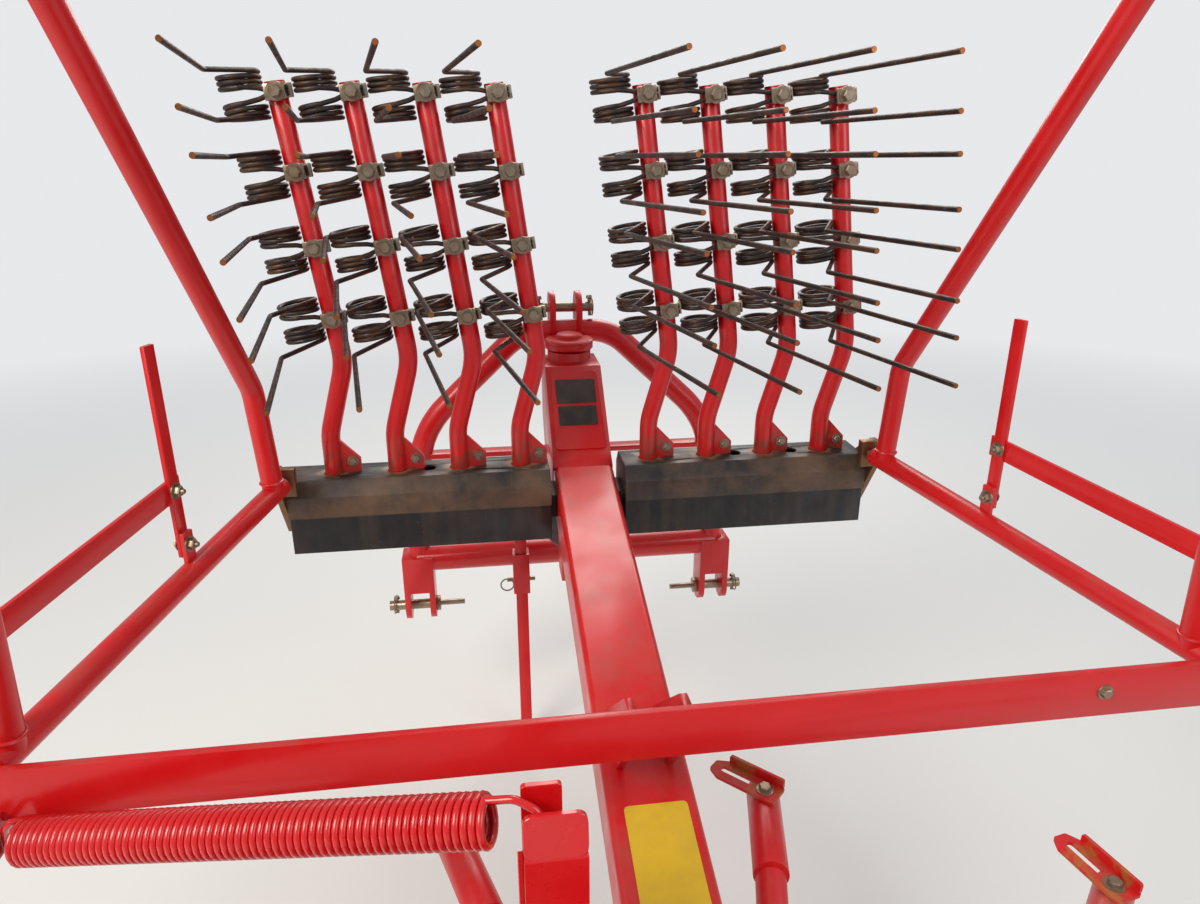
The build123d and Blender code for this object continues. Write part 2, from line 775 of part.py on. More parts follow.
# Pivot brackets at the racks' outer ends, with the pins that the rails turn on
with BuildPart() as pivot_brackets:
    for side in (-1, 1):
        front = mirrored(rail_front, side)
        along = (mirrored(rail_rear, side) - front).normalized()
        block_face_dy = rail_front[1] + 12
        with BuildSketch(Plane.YZ.offset(side * rack_outer_x)):
            with BuildLine():
                Polyline(
                    (rotor_y + block_face_dy, rail_front[2] - 30),
                    (rotor_y + block_face_dy, rail_front[2] + 30),
                    (rotor_y + block_face_dy + 30, rail_front[2] + 30),
                    (rack_y + 40, rack_top_z - 35),
                    (rack_y + 40, rack_top_z - 120),
                    (rack_y - 40, rack_top_z - 120),
                    close=True,
                )
            make_face()
        extrude(amount=side * 12)
        with BuildSketch(Plane.YZ.offset(side * (rail_front[0] - 26))):
            with Locations((rotor_y + block_face_dy + 11, rail_front[2])):
                Rectangle(22, 60)
        extrude(amount=side * (rack_outer_x + 12 - rail_front[0] + 26))
        pin_root = on_line(front, front + along, block_face_dy + 6)
        with BuildSketch(Plane(origin=pin_root, z_dir=along)):
            Circle(pivot_pin_radius)
        extrude(amount=(front + along * pivot_pin_depth - pin_root).length)
save(pivot_brackets, "pivot_brackets")

# Crossbar with its two brackets on the beam, its pins and the spring's lug
with BuildPart() as crossbar:
    with BuildSketch(Plane.XZ.offset(-(rotor_y + crossbar_dy))):
        with Locations((0, crossbar_z)):
            RectangleRounded(2 * crossbar_half, crossbar_height, 4)
    extrude(amount=crossbar_thickness / 2, both=True)
    bar_front_dy = crossbar_dy + crossbar_thickness / 2
    for side in (-1, 1):
        add(side_profile([
            (bar_front_dy, crossbar_z - 28),
            (bar_front_dy, crossbar_z + 28),
            (bar_front_dy + 45, crossbar_z + 24),
            (bar_front_dy + bracket_reach, beam_top(bar_front_dy + bracket_reach)),
            (bar_front_dy + bracket_reach / 2, beam_top(bar_front_dy + bracket_reach / 2)),
        ], 6, side * 40))
        front = mirrored(rail_front, side)
        rear = mirrored(rail_rear, side)
        along = (front - rear).normalized()
        pin_root = on_line(front, rear, crossbar_dy)
        with BuildSketch(Plane(origin=pin_root, z_dir=along)):
            Circle(pivot_pin_radius)
        extrude(amount=(rear + along * pivot_pin_depth - pin_root).length)
    spring_eye = at(*spring_left)
    with BuildSketch(Plane.YZ.offset(spring_left[0])):
        with Locations((spring_eye.Y + 10, spring_left[2] + 5)):
            Rectangle(spring_lug_width, spring_lug_height)
    extrude(amount=-spring_lug_plate)
save(crossbar, "crossbar")

# Folded post for the spring, and its foot on the beam's side
post_y = rotor_y + post_dy
post_foot_z = beam_top(post_dy) - beam_height / 2
with BuildPart() as spring_post:
    with BuildSketch(Plane.XY.offset(post_foot_z - 40)):
        with Locations((post_x, post_y)):
            Rectangle(post_width, 44)
            with Locations((0, 8)):
                Rectangle(post_width - 12, 44, mode=Mode.SUBTRACT)
    extrude(amount=post_top_z - post_foot_z + 40)
    with BuildSketch(Plane.YZ.offset(post_x + post_width / 2 - 6)):
        with Locations((post_y, post_foot_z)):
            Rectangle(44, 60)
    extrude(amount=-beam_width / 2 - post_x - post_width / 2 + 6)
save(spring_post, "spring_post")

# Tension spring between the crossbar's lug and the post
spring_start = at(*spring_left) + Vector(seat_gap, 0, 0)
spring_end = Vector(post_x - post_width / 2 - seat_gap, post_y, spring_right_z)
spring_run = (spring_end - spring_start).length
spring_along = (spring_end - spring_start).normalized()
with BuildPart() as spring:
    with BuildSketch(Plane(origin=spring_start + spring_along * spring_hook, z_dir=spring_along)):
        Circle(spring_radius)
    extrude(amount=spring_run - 2 * spring_hook)
    with BuildSketch(Plane(origin=spring_start - spring_along * 10, z_dir=spring_along)):
        Circle(spring_wire / 2)
    extrude(amount=spring_run + 20)
    with BuildSketch(Plane.YZ.offset(spring_start.X)):
        with Locations((post_y, spring_right_z)):
            Rectangle(1000, 1000)
    extrude(amount=spring_end.X - spring_start.X, mode=Mode.INTERSECT)
save(spring, "spring")
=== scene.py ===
import json
from math import atan2, ceil, cos, pi, radians, sin

import bmesh
import bpy
from bpy.props import FloatProperty, FloatVectorProperty, IntProperty, PointerProperty
from mathutils import Matrix, Vector


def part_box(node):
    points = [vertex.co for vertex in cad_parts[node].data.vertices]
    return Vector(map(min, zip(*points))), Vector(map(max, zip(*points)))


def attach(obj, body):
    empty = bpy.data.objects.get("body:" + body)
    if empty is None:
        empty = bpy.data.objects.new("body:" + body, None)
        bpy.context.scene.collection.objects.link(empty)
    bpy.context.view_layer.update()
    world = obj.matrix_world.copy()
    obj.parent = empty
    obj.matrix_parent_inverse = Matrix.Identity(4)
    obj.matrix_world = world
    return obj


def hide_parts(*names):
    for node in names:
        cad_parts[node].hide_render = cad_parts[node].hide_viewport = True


bl_info = {
    "name": "Folded Rotor Rake",
    "version": (1, 0, 0),
    "blender": (4, 5, 0),
    "location": "View3D > Sidebar > Rake",
    "description": "Finishes, tines, springs, fasteners and stage for a parked single rotor rake",
    "category": "Object",
}

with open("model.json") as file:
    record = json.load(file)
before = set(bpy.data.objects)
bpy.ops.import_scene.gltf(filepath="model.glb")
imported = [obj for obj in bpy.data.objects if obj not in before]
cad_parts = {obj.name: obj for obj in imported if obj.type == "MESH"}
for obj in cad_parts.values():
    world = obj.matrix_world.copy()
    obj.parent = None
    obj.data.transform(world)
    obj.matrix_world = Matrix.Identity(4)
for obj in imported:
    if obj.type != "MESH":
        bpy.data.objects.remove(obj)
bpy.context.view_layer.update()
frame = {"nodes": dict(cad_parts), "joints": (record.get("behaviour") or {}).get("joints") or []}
joints = {joint["name"]: joint for joint in frame["joints"]}
ROTOR_Y = joints["rotor_turn"]["pos_m"][1]
RACK_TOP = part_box("rack_left")[1].z
RACK_Y = sum(corner.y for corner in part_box("rack_left")) / 2

# Tine arms: their places in the racks, and on the rotor as turns from straight ahead
FIRST_ARM, ARM_PITCH = 0.148, 0.138
ARM_PLACES = [side * (FIRST_ARM + ARM_PITCH * step) for side in (-1, 1) for step in range(4)]
SOCKETS, ROTOR_ANGLE = 11, 14.0
ROTOR_SLOTS = (4, 5, 6)
STUB_END_R, STUB_END_Z = 0.985, 0.575
ARM_RADIUS = 0.020
ELBOW_ACROSS, ELBOW_UP = 0.045, 0.250
TIP_ACROSS, TIP_UP = -0.028, 0.800
ARM_LEAN = atan2(TIP_ACROSS - ELBOW_ACROSS, TIP_UP - ELBOW_UP)
TINE_UPS = [0.347 + 0.1445 * step for step in range(4)]
COIL_X, COIL_MIDDLE, COIL_GAP, COIL_HEIGHT = -0.064, 0.0372, 0.019, 0.037
KNEE_LENGTH, KNEE_ANGLE = 0.130, radians(26.7)
LEG_LENGTH, LEG_ANGLE = 0.405, radians(8.5)
WIRE, KNEE_BEND, BRIDGE_BEND = 0.0047, 0.020, 0.010
CLAMP_PLATE, CLAMP_SADDLE = (0.040, 0.006, 0.030), (0.024, 0.010, 0.026)

# Drum flanges, and the slotted plates on the empty sockets
DRUM_FACE_R, FLANGE_Z, FLANGE_BOLT = 0.292, 0.3775, 0.031
SOCKET_TOP, SOCKET_INSET = 0.604, 0.035
SLOT_SHEET, SLOT_TURN = 0.006, radians(58)

# Side guards' rails, hoops, lugs and uprights; places count from the foot of the rotor's axis
RAIL_FRONT, RAIL_REAR = (0.650, 1.490, 1.000), (0.866, 0.760, 0.921)
RAIL_RADIUS, RAIL_BORE, BORE_DEPTH = 0.021, 0.0103, 0.065
HOOP_CORNERS = ((0.672, 1.462, 1.215), (0.765, 0.940, 2.030), (0.800, 0.780, 2.030))
HOOP_FOOT, HOOP_BEND, HOOP_WELD = 0.030, 0.070, 0.0028
UPRIGHT_DY, LUG_WIDTH, LUG_TOP, LUG_SHEET = 1.190, 0.025, 0.075, 0.008

# Tension spring, its ends counted from the same point, and its folded post
SPRING_LEFT, SPRING_RIGHT = (-0.8497, 0.708, 0.848), (-0.2053, 0.503, 0.992)
SPRING_RADIUS, SPRING_WIRE = 0.0262, 0.0046
LEAD_LENGTH, TAIL_LENGTH = 0.036, 0.030
POST_DY, POST_WIDTH, POST_DEPTH = 0.500, 0.070, 0.044
POST_SHEET, POST_SIDE, POST_RISE, FOLD_DROP, POST_LEAN = 0.008, 0.006, 0.022, 0.030, radians(-9)

# Beam, racks' cap edge and ends, crossbar, hitch, jack, king pin, plates and wheels
BEAM_SLOPE, BEAM_TOP_AT_RACK, RACK_DY = radians(14.75), 0.945, 1.610
RACK_EDGE, RACK_END_X = 0.900, 0.667
CROSSBAR_Z = 0.900
HITCH_Y, LOWER_PIN_Z, TOP_LINK_Z = ROTOR_Y + 2.030, 0.395, 1.255
LOWER_LINCH_X, TOP_LINCH_X = 0.5053, 0.068
JACK_PIN, JACK_FACE = (-0.145, ROTOR_Y + 1.910, 0.520), 0.0235
KING_PIN = (0, ROTOR_Y + 1.940, 1.1855)
YELLOW_DY, NECK_MIDDLE, NECK_RISE = 0.690, (0, ROTOR_Y + 1.759, 1.058), (0, 0.182, 0.170)
WHEEL_BOLTS, BOLT_CIRCLE, DISC_OUT = 5, 0.055, 0.0115

# Colours of dirt and wear, a pale grey that is partly rubbed steel and partly a painted sheen, colour of the
# backdrop, and how CAD edges are eased
DUST, GRIME = (0.24, 0.15, 0.10), (0.13, 0.055, 0.028)
WASH, SPECKS = (0.060, 0.044, 0.034), (0.26, 0.15, 0.07)
CAP_DUST, ARM_DUST = (0.150, 0.088, 0.048), (0.27, 0.165, 0.090)
WIRE_RUST, RUBBED_STEEL_AND_SHEEN = (0.115, 0.058, 0.032), (0.17, 0.16, 0.16)
TARNISH, RUBBED = (0.20, 0.085, 0.03), (0.42, 0.13, 0.03)
BACKDROP = (0.80, 0.81, 0.83, 1)
SEAM, EDGE_WIDTH, EDGE_ANGLE = 0.00002, 0.0012, radians(35)

# The photograph's camera: its place and turns, and its focal length in pixels of the frame's width
CAMERA_PLACE, CAMERA_DIP, CAMERA_PAN = (-0.222, ROTOR_Y - 0.22, 1.67), 20.0, -8.0
FOCAL_PIXELS, FRAME_PIXELS, SENSOR = 850, 1200, 36.0


class RakeSizes(bpy.types.PropertyGroup):
    coil_turns: FloatProperty(
        name="Coil turns", description="Turns in each tine coil", default=2.824, min=1.5, max=5.0)
    wire_sides: IntProperty(
        name="Wire sides", description="Sides of the tine wire's section", default=10, min=5, max=16)
    spring_pitch: FloatProperty(
        name="Spring pitch", description="Distance between turns of the tension spring",
        default=0.0094, min=0.007, max=0.02, unit="LENGTH")
    bolt_radius: FloatProperty(
        name="Bolt size", description="Half the width across a bolt's corners", default=0.010, unit="LENGTH")
    tread_depth: FloatProperty(
        name="Tread depth", description="Depth of the grooves in the tyres", default=0.006, unit="LENGTH")


class RakeColours(bpy.types.PropertyGroup):
    paint: FloatVectorProperty(
        name="Paint", description="Main paint", default=(0.58, 0.0025, 0.0045), subtype="COLOR")
    rack: FloatVectorProperty(
        name="Rack", description="Black rack paint", default=(0.014, 0.014, 0.016), subtype="COLOR")
    steel: FloatVectorProperty(
        name="Tine steel", description="Dark spring steel", default=(0.042, 0.032, 0.030), subtype="COLOR")
    zinc: FloatVectorProperty(
        name="Zinc", description="Plated fasteners", default=(0.36, 0.30, 0.22), subtype="COLOR")
    floor: FloatVectorProperty(
        name="Floor", description="Pale floor", default=(0.72, 0.72, 0.70), subtype="COLOR")


# Materials
def shader_of(name):
    finish = bpy.data.materials.new(name)
    finish.use_nodes = True
    return finish, finish.node_tree, finish.node_tree.nodes["Principled BSDF"]


def grain(tree, scale, detail=4.0, roughness=0.55, stretch=(1, 1, 1)):
    """Noise on the piece's own coordinates."""
    place = tree.nodes.new("ShaderNodeTexCoord")
    mapping = tree.nodes.new("ShaderNodeMapping")
    mapping.inputs["Scale"].default_value = stretch
    noise = tree.nodes.new("ShaderNodeTexNoise")
    noise.inputs["Scale"].default_value = scale
    noise.inputs["Detail"].default_value = detail
    noise.inputs["Roughness"].default_value = roughness
    tree.links.new(place.outputs["Object"], mapping.inputs["Vector"])
    tree.links.new(mapping.outputs["Vector"], noise.inputs["Vector"])
    return noise.outputs["Fac"]


def ramp(tree, factor, low, high, first=0.0, last=1.0):
    """Maps a factor from low..high to first..last, held at both ends."""
    spread = tree.nodes.new("ShaderNodeMapRange")
    spread.inputs["From Min"].default_value = low
    spread.inputs["From Max"].default_value = high
    spread.inputs["To Min"].default_value = first
    spread.inputs["To Max"].default_value = last
    tree.links.new(factor, spread.inputs["Value"])
    return spread.outputs["Result"]


def blend_colours(tree, factor, under, over):
    mixer = tree.nodes.new("ShaderNodeMix")
    mixer.data_type = "RGBA"
    tree.links.new(factor, mixer.inputs["Factor"])
    for socket, value in ((mixer.inputs["A"], under), (mixer.inputs["B"], over)):
        if isinstance(value, bpy.types.NodeSocket):
            tree.links.new(value, socket)
        else:
            socket.default_value = (*value, 1)
    return mixer.outputs["Result"]


def calc(tree, operation, first, second=0.0):
    """One step of arithmetic on a factor."""
    step = tree.nodes.new("ShaderNodeMath")
    step.operation = operation
    for socket, value in zip(step.inputs, (first, second)):
        if isinstance(value, bpy.types.NodeSocket):
            tree.links.new(value, socket)
        else:
            socket.default_value = value
    return step.outputs["Value"]


def product(tree, first, second):
    return calc(tree, "MULTIPLY", first, second)


def own_place(tree):
    """The surface's own X, Y and Z."""
    coordinates = tree.nodes.new("ShaderNodeTexCoord")
    split = tree.nodes.new("ShaderNodeSeparateXYZ")
    tree.links.new(coordinates.outputs["Object"], split.inputs["Vector"])
    return split.outputs["X"], split.outputs["Y"], split.outputs["Z"]


def facing_up(tree):
    """How much a surface looks upwards, where dust settles."""
    geometry = tree.nodes.new("ShaderNodeNewGeometry")
    split = tree.nodes.new("ShaderNodeSeparateXYZ")
    tree.links.new(geometry.outputs["Normal"], split.inputs["Vector"])
    return ramp(tree, split.outputs["Z"], 0.35, 1.0)


def bump(tree, shader, height, strength, distance):
    relief = tree.nodes.new("ShaderNodeBump")
    relief.inputs["Strength"].default_value = strength
    relief.inputs["Distance"].default_value = distance
    tree.links.new(height, relief.inputs["Height"])
    tree.links.new(relief.outputs["Normal"], shader.inputs["Normal"])


def worn_paint(name, colour, dust=0.35, roughness=0.28, coat=0.3, rub=None, grime_top=None):
    """Glossy paint, a little faded, with fine dust on top, scuffs and an uneven sprayed skin."""
    finish, tree, shader = shader_of(name)
    fade = ramp(tree, grain(tree, 3.5), 0.35, 0.7)
    faded = blend_colours(tree, fade, colour, tuple(min(1, 1.12 * c + 0.003) for c in colour))
    settled = product(tree, ramp(tree, grain(tree, 9, 8, 0.65), 0.45, 0.72), facing_up(tree))
    dusty = blend_colours(tree, product(tree, settled, dust), faded, DUST)
    scratch = ramp(tree, grain(tree, 60, 5, 0.7, (1, 0.12, 1)), 0.68, 0.78, 0, 0.55)
    scuffed = blend_colours(tree, product(tree, scratch, ramp(tree, grain(tree, 5), 0.5, 0.65)), dusty,
                            tuple(0.45 * c + 0.08 for c in colour))
    if grime_top:
        low = ramp(tree, own_place(tree)[2], RACK_TOP, grime_top, 1, 0)
        grime = product(tree, low, ramp(tree, grain(tree, 34, 8, 0.7), 0.40, 0.60, 0, 0.9))
        scuffed = blend_colours(tree, grime, scuffed, GRIME)
    if rub:
        scuffed = blend_colours(tree, ramp(tree, grain(tree, 16, 7, 0.7), 0.48, 0.58), scuffed, rub)
    tree.links.new(scuffed, shader.inputs["Base Color"])
    tree.links.new(ramp(tree, grain(tree, 14, 6), 0.3, 0.75, roughness, roughness + 0.22),
                   shader.inputs["Roughness"])
    shader.inputs["Coat Weight"].default_value = coat
    shader.inputs["Coat Roughness"].default_value = 0.15
    bump(tree, shader, grain(tree, 220, 2), 0.06, 0.0006)
    return finish


def rack_paint(name, colour):
    """Black sheet steel: runs down its skirt, brown dust on its cap and rings of it round the arms."""
    finish, tree, shader = shader_of(name)
    x, y, z = own_place(tree)
    streaks = ramp(tree, grain(tree, 30, 6, 0.6, (1, 1, 0.10)), 0.42, 0.70, 0, 0.75)
    streaked = blend_colours(tree, streaks, colour, WASH)
    cap = ramp(tree, z, RACK_EDGE - 0.004, RACK_EDGE + 0.004)
    cloud = ramp(tree, grain(tree, 5, 8, 0.62), 0.44, 0.62, 0.05, 0.80)
    washed = blend_colours(tree, product(tree, cloud, cap), streaked, CAP_DUST)
    # Distance from the nearest arm, whose places repeat along the rack
    outward = calc(tree, "SUBTRACT", calc(tree, "ABSOLUTE", x), FIRST_ARM - ARM_PITCH / 2)
    share = calc(tree, "FRACT", calc(tree, "DIVIDE", outward, ARM_PITCH))
    across = product(tree, calc(tree, "SUBTRACT", share, 0.5), ARM_PITCH)
    along = calc(tree, "SUBTRACT", y, RACK_Y)
    squares = calc(tree, "ADD", product(tree, across, across), product(tree, along, along))
    reach = calc(tree, "SQRT", squares)
    uneven = calc(tree, "ADD", reach, product(tree, grain(tree, 38, 4), 0.040))
    on_top = ramp(tree, z, RACK_TOP - 0.004, RACK_TOP - 0.001)
    ring = product(tree, ramp(tree, uneven, 0.046, 0.060, 0.9, 0), on_top)
    ringed = blend_colours(tree, ring, washed, ARM_DUST)
    speck = ramp(tree, grain(tree, 95, 3, 0.8), 0.68, 0.74, 0, 0.6)
    tree.links.new(blend_colours(tree, speck, ringed, SPECKS), shader.inputs["Base Color"])
    tree.links.new(ramp(tree, grain(tree, 12, 6), 0.3, 0.7, 0.30, 0.70), shader.inputs["Roughness"])
    bump(tree, shader, grain(tree, 120, 6, 0.7), 0.2, 0.001)
    return finish


def spring_steel(name, colour):
    """Oil-hardened wire gone brown, dark scale left in patches, and pale grey patches that are partly rubbed
    steel and partly a painted sheen.
    """
    finish, tree, shader = shader_of(name)
    rust = ramp(tree, grain(tree, 22, 7, 0.65), 0.42, 0.66)
    browned = blend_colours(tree, rust, colour, WIRE_RUST)
    # Pale grey patches at random on the wire: partly rubbed steel, partly a painted sheen
    rubbed_and_sheen = ramp(tree, grain(tree, 55, 5, 0.7), 0.60, 0.72, 0, 0.8)
    tree.links.new(blend_colours(tree, rubbed_and_sheen, browned, RUBBED_STEEL_AND_SHEEN), shader.inputs["Base Color"])
    shader.inputs["Metallic"].default_value = 0.65
    tree.links.new(ramp(tree, grain(tree, 35, 5), 0.3, 0.7, 0.32, 0.62), shader.inputs["Roughness"])
    bump(tree, shader, grain(tree, 300, 4, 0.7), 0.35, 0.0008)
    return finish


def plated_steel(name, colour, rust_share=0.55):
    """Yellow zinc plating with dull and rusty spots."""
    finish, tree, shader = shader_of(name)
    tarnish = ramp(tree, grain(tree, 40, 6, 0.65), 0.4, 0.7, 0, rust_share)
    tarnished = blend_colours(tree, tarnish, colour, TARNISH)
    tree.links.new(tarnished, shader.inputs["Base Color"])
    shader.inputs["Metallic"].default_value = 0.85
    tree.links.new(ramp(tree, grain(tree, 90, 4), 0.3, 0.7, 0.25, 0.55), shader.inputs["Roughness"])
    bump(tree, shader, grain(tree, 260, 3), 0.15, 0.0005)
    return finish


def dull_skin(name, colour, soil, roughness, relief=0.3, scale=80):
    """Rubber, plastic or a plain plate with dust in its grain."""
    finish, tree, shader = shader_of(name)
    cover = ramp(tree, grain(tree, 11, 7, 0.65), 0.42, 0.75, 0, 0.7)
    tree.links.new(blend_colours(tree, cover, colour, soil), shader.inputs["Base Color"])
    tree.links.new(ramp(tree, grain(tree, 30, 5), 0.3, 0.7, roughness - 0.1, roughness + 0.1),
                   shader.inputs["Roughness"])
    bump(tree, shader, grain(tree, scale, 5, 0.7), relief, 0.0008)
    return finish


FINISHES = {}


def make_finishes(colours):
    """Makes every material once, from the panel's colours."""
    paint = tuple(colours.paint)
    FINISHES.update(
        red=worn_paint("red_paint", paint),
        red_dusty=worn_paint("red_paint_dusty", paint, dust=0.75, roughness=0.36),
        red_foot=worn_paint("red_paint_soiled", paint, grime_top=1.09),
        gloss=worn_paint("red_paint_gloss", paint, dust=0.10, roughness=0.16, coat=0.6),
        worn=worn_paint("red_paint_rubbed", paint, dust=0.5, roughness=0.45, coat=0.0, rub=RUBBED),
        rack=rack_paint("rack_black", tuple(colours.rack)),
        steel=spring_steel("tine_steel", tuple(colours.steel)),
        tip=plated_steel("tine_tip", (0.42, 0.14, 0.04), 0.8),
        zinc=plated_steel("zinc_plate", tuple(colours.zinc)),
        bracket=plated_steel("rusty_bracket", (0.22, 0.13, 0.07), 0.85),
        shaft=plated_steel("shaft_steel", (0.35, 0.33, 0.30), 0.3),
        rubber=dull_skin("tyre_rubber", (0.012, 0.012, 0.012), (0.09, 0.07, 0.05), 0.78),
        plastic=dull_skin("guard_plastic", (0.010, 0.010, 0.011), (0.05, 0.042, 0.036), 0.5, 0.12),
        yellow=dull_skin("plain_yellow_plate", (0.76, 0.49, 0.02), (0.56, 0.35, 0.03), 0.42, 0.05),
        dark=dull_skin("plain_dark_plate", (0.028, 0.022, 0.020), (0.12, 0.09, 0.06), 0.4, 0.05),
    )


# Mesh helpers
def join(bm, part, matrix, material=None):
    """Puts a finished part into a piece, at its place."""
    bmesh.ops.transform(part, matrix=matrix, verts=part.verts)
    if material is not None:
        for face in part.faces:
            face.material_index = material
    carrier = bpy.data.meshes.new("part")
    part.to_mesh(carrier)
    part.free()
    bm.from_mesh(carrier)
    bpy.data.meshes.remove(carrier)


def axes_matrix(x, y, z, origin):
    """Matrix from three axes and a place."""
    return Matrix((
        (x.x, y.x, z.x, origin[0]),
        (x.y, y.y, z.y, origin[1]),
        (x.z, y.z, z.z, origin[2]),
        (0, 0, 0, 1),
    ))


def aim(origin, direction, roll=None):
    """Matrix that puts +Z along a direction, at a place."""
    z = Vector(direction).normalized()
    x = Vector(roll) if roll else (Vector((0, 0, 1)) if abs(z.z) < 0.9 else Vector((1, 0, 0)))
    x = (x - z * x.dot(z)).normalized()
    return axes_matrix(x, z.cross(x), z, origin)


def finish_piece(name, bm, body, finish, replaces=(), smooth=40.0, finishes=()):
    """Makes the object, shades it and hangs it on its body."""
    mesh = bpy.data.meshes.new(name)
    bmesh.ops.recalc_face_normals(bm, faces=bm.faces)
    bm.to_mesh(mesh)
    bm.free()
    piece = bpy.data.objects.new(name, mesh)
    bpy.context.scene.collection.objects.link(piece)
    mesh.materials.append(FINISHES[finish])
    for extra in finishes:
        mesh.materials.append(FINISHES[extra])
    mesh.shade_smooth()
    mesh.set_sharp_from_angle(angle=radians(smooth))
    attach(piece, body)
    if replaces:
        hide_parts(*replaces)
    return piece


def wire_on(bm, points, radius, sides=8):
    """A round bar along a few points: a circle that is extruded from mitre to mitre."""
    points = [Vector(p) for p in points]
    made = bmesh.ops.create_circle(bm, cap_ends=True, segments=sides, radius=radius)
    ring = made["verts"]
    bmesh.ops.transform(bm, matrix=aim(points[0], points[1] - points[0]), verts=ring)
    face = ring[0].link_faces[0]
    for step in range(1, len(points)):
        run = (points[step] - points[step - 1]).normalized()
        onward = (points[step + 1] - points[step]).normalized() if step + 1 < len(points) else run
        normal = (run + onward).normalized()
        grown = bmesh.ops.extrude_face_region(bm, geom=[face])
        corners = [v for v in grown["geom"] if isinstance(v, bmesh.types.BMVert)]
        caps = [f for f in grown["geom"] if isinstance(f, bmesh.types.BMFace)]
        if step > 1:
            bmesh.ops.delete(bm, geom=[face], context="FACES_ONLY")
        face = caps[0]
        # Each corner slides along the run onto the mitre plane
        for corner in corners:
            reach = (points[step] - corner.co).dot(normal) / run.dot(normal)
            corner.co += run * reach


def rounded(points, radius, steps=3):
    """Points with each inner corner replaced by a short arc's points."""
    points = [Vector(p) for p in points]
    path = [points[0]]
    for before, corner, after in zip(points, points[1:], points[2:]):
        a = (before - corner).normalized()
        b = (after - corner).normalized()
        turn = pi - a.angle(b)
        reach = min(radius * abs(sin(turn / 2) / cos(turn / 2)), 0.45 * (before - corner).length,
                    0.45 * (after - corner).length)
        for step in range(steps + 1):
            share = step / steps
            path.append(corner + a * reach * (1 - share) ** 2 + b * reach * share ** 2)
    return path + [points[-1]]


def hex_bolt(bm, place, direction, radius, proud=None, material=None):
    """A hexagonal head with a chamfered crown on a washer."""
    proud = proud or radius * 0.75
    washer = 0.002
    crown = washer + proud * 0.8
    part = bmesh.new()
    for sides, bottom, low, high, top in (
        (20, 1.45, 0.0, washer, 1.40),
        (6, 1.0, washer, crown, 1.0),
        (6, 1.0, crown, washer + proud, 0.82),
    ):
        middle = Matrix.Translation((0, 0, (low + high) / 2))
        bmesh.ops.create_cone(part, cap_ends=True, segments=sides, radius1=radius * bottom,
                              radius2=radius * top, depth=high - low, matrix=middle)
    join(bm, part, aim(place, direction), material)


def plate_on(bm, size, matrix, bevel=0.001, segments=2, material=None):
    """A bevelled block, size across its own x, y and z."""
    part = bmesh.new()
    bmesh.ops.create_cube(part, size=1.0, matrix=Matrix.Diagonal((*size, 1)))
    bmesh.ops.bevel(part, geom=part.edges, offset=bevel, segments=segments, profile=0.5, affect="EDGES",
                    material=-1)
    join(bm, part, matrix, material)


def round_corners(outline, radius, steps=4):
    """A closed outline with its corners turned into short arcs."""
    start = (Vector(outline[0]) + Vector(outline[-1])) / 2
    return rounded([start, *outline, start], radius, steps)[:-1]


def cut_plate(bm, outline, thickness, matrix, corner=0.0, hole=(), edge=0.0008, material=None):
    """A flat plate cut along an outline, with one opening where it has one, and its rims eased."""
    part = bmesh.new()
    edges = []
    for loop in (round_corners(outline, corner) if corner else outline, hole):
        verts = [part.verts.new((point[0], point[1], 0)) for point in loop]
        edges += [part.edges.new(pair) for pair in zip(verts, verts[1:] + verts[:1])]
    bmesh.ops.triangle_fill(part, use_beauty=True, use_dissolve=False, edges=edges, normal=(0, 0, 1))
    grown = bmesh.ops.extrude_face_region(part, geom=part.faces[:])
    raised = [item for item in grown["geom"] if isinstance(item, bmesh.types.BMVert)]
    bmesh.ops.translate(part, vec=(0, 0, thickness), verts=raised)
    bmesh.ops.recalc_face_normals(part, faces=part.faces)
    rims = [e for e in part.edges if len(e.link_faces) == 2 and abs(e.verts[0].co.z - e.verts[1].co.z) < 1e-6
            and abs(e.calc_face_angle(0)) > 1.2]
    bmesh.ops.bevel(part, geom=rims, offset=edge, segments=1, profile=0.5, affect="EDGES", material=-1,
                    clamp_overlap=True)
    join(bm, part, matrix, material)


def beam_top(dy):
    """Height of the beam's top face at a distance forward of the rotor's axis."""
    return BEAM_TOP_AT_RACK + (dy - RACK_DY) * sin(BEAM_SLOPE) / cos(BEAM_SLOPE)


def facing(origin, right, up):
    """Matrix with +X to a plate's right, +Y up along it and +Z out of its face."""
    x = Vector(right).normalized()
    z = x.cross(Vector(up)).normalized()
    return axes_matrix(x, z.cross(x), z, origin)


def rectangle(left, right, low, high):
    return [(left, low), (right, low), (right, high), (left, high)]


def through_bolt(bm, place, direction, grip, radius):
    """A bolt's head on the near side, and its nut and thread's end on the far side."""
    direction = Vector(direction).normalized()
    place = Vector(place)
    hex_bolt(bm, place, direction, radius)
    far = place - direction * grip
    hex_bolt(bm, far, -direction, radius, radius * 0.9)
    thread = bmesh.new()
    bmesh.ops.create_cone(thread, cap_ends=True, segments=12, radius1=radius * 0.5, radius2=radius * 0.42,
                          depth=radius * 0.6, matrix=Matrix.Translation((0, 0, radius * 1.35)))
    join(bm, thread, aim(far, -direction))


def linch_pin(bm, place, across, drop):
    """A short pin through a bar's end with its sprung ring folded round the bar."""
    across, drop = Vector(across).normalized(), Vector(drop).normalized()
    place = Vector(place)
    wire_on(bm, [place - drop * 0.024, place + drop * 0.024], 0.0045, 10)
    head = bmesh.new()
    bmesh.ops.create_cone(head, cap_ends=True, segments=12, radius1=0.009, radius2=0.007, depth=0.008)
    join(bm, head, aim(place - drop * 0.026, -drop))
    ring_on(bm, aim(place + across * 0.006, across, drop), 0.023, 0.0020, 24, 8)


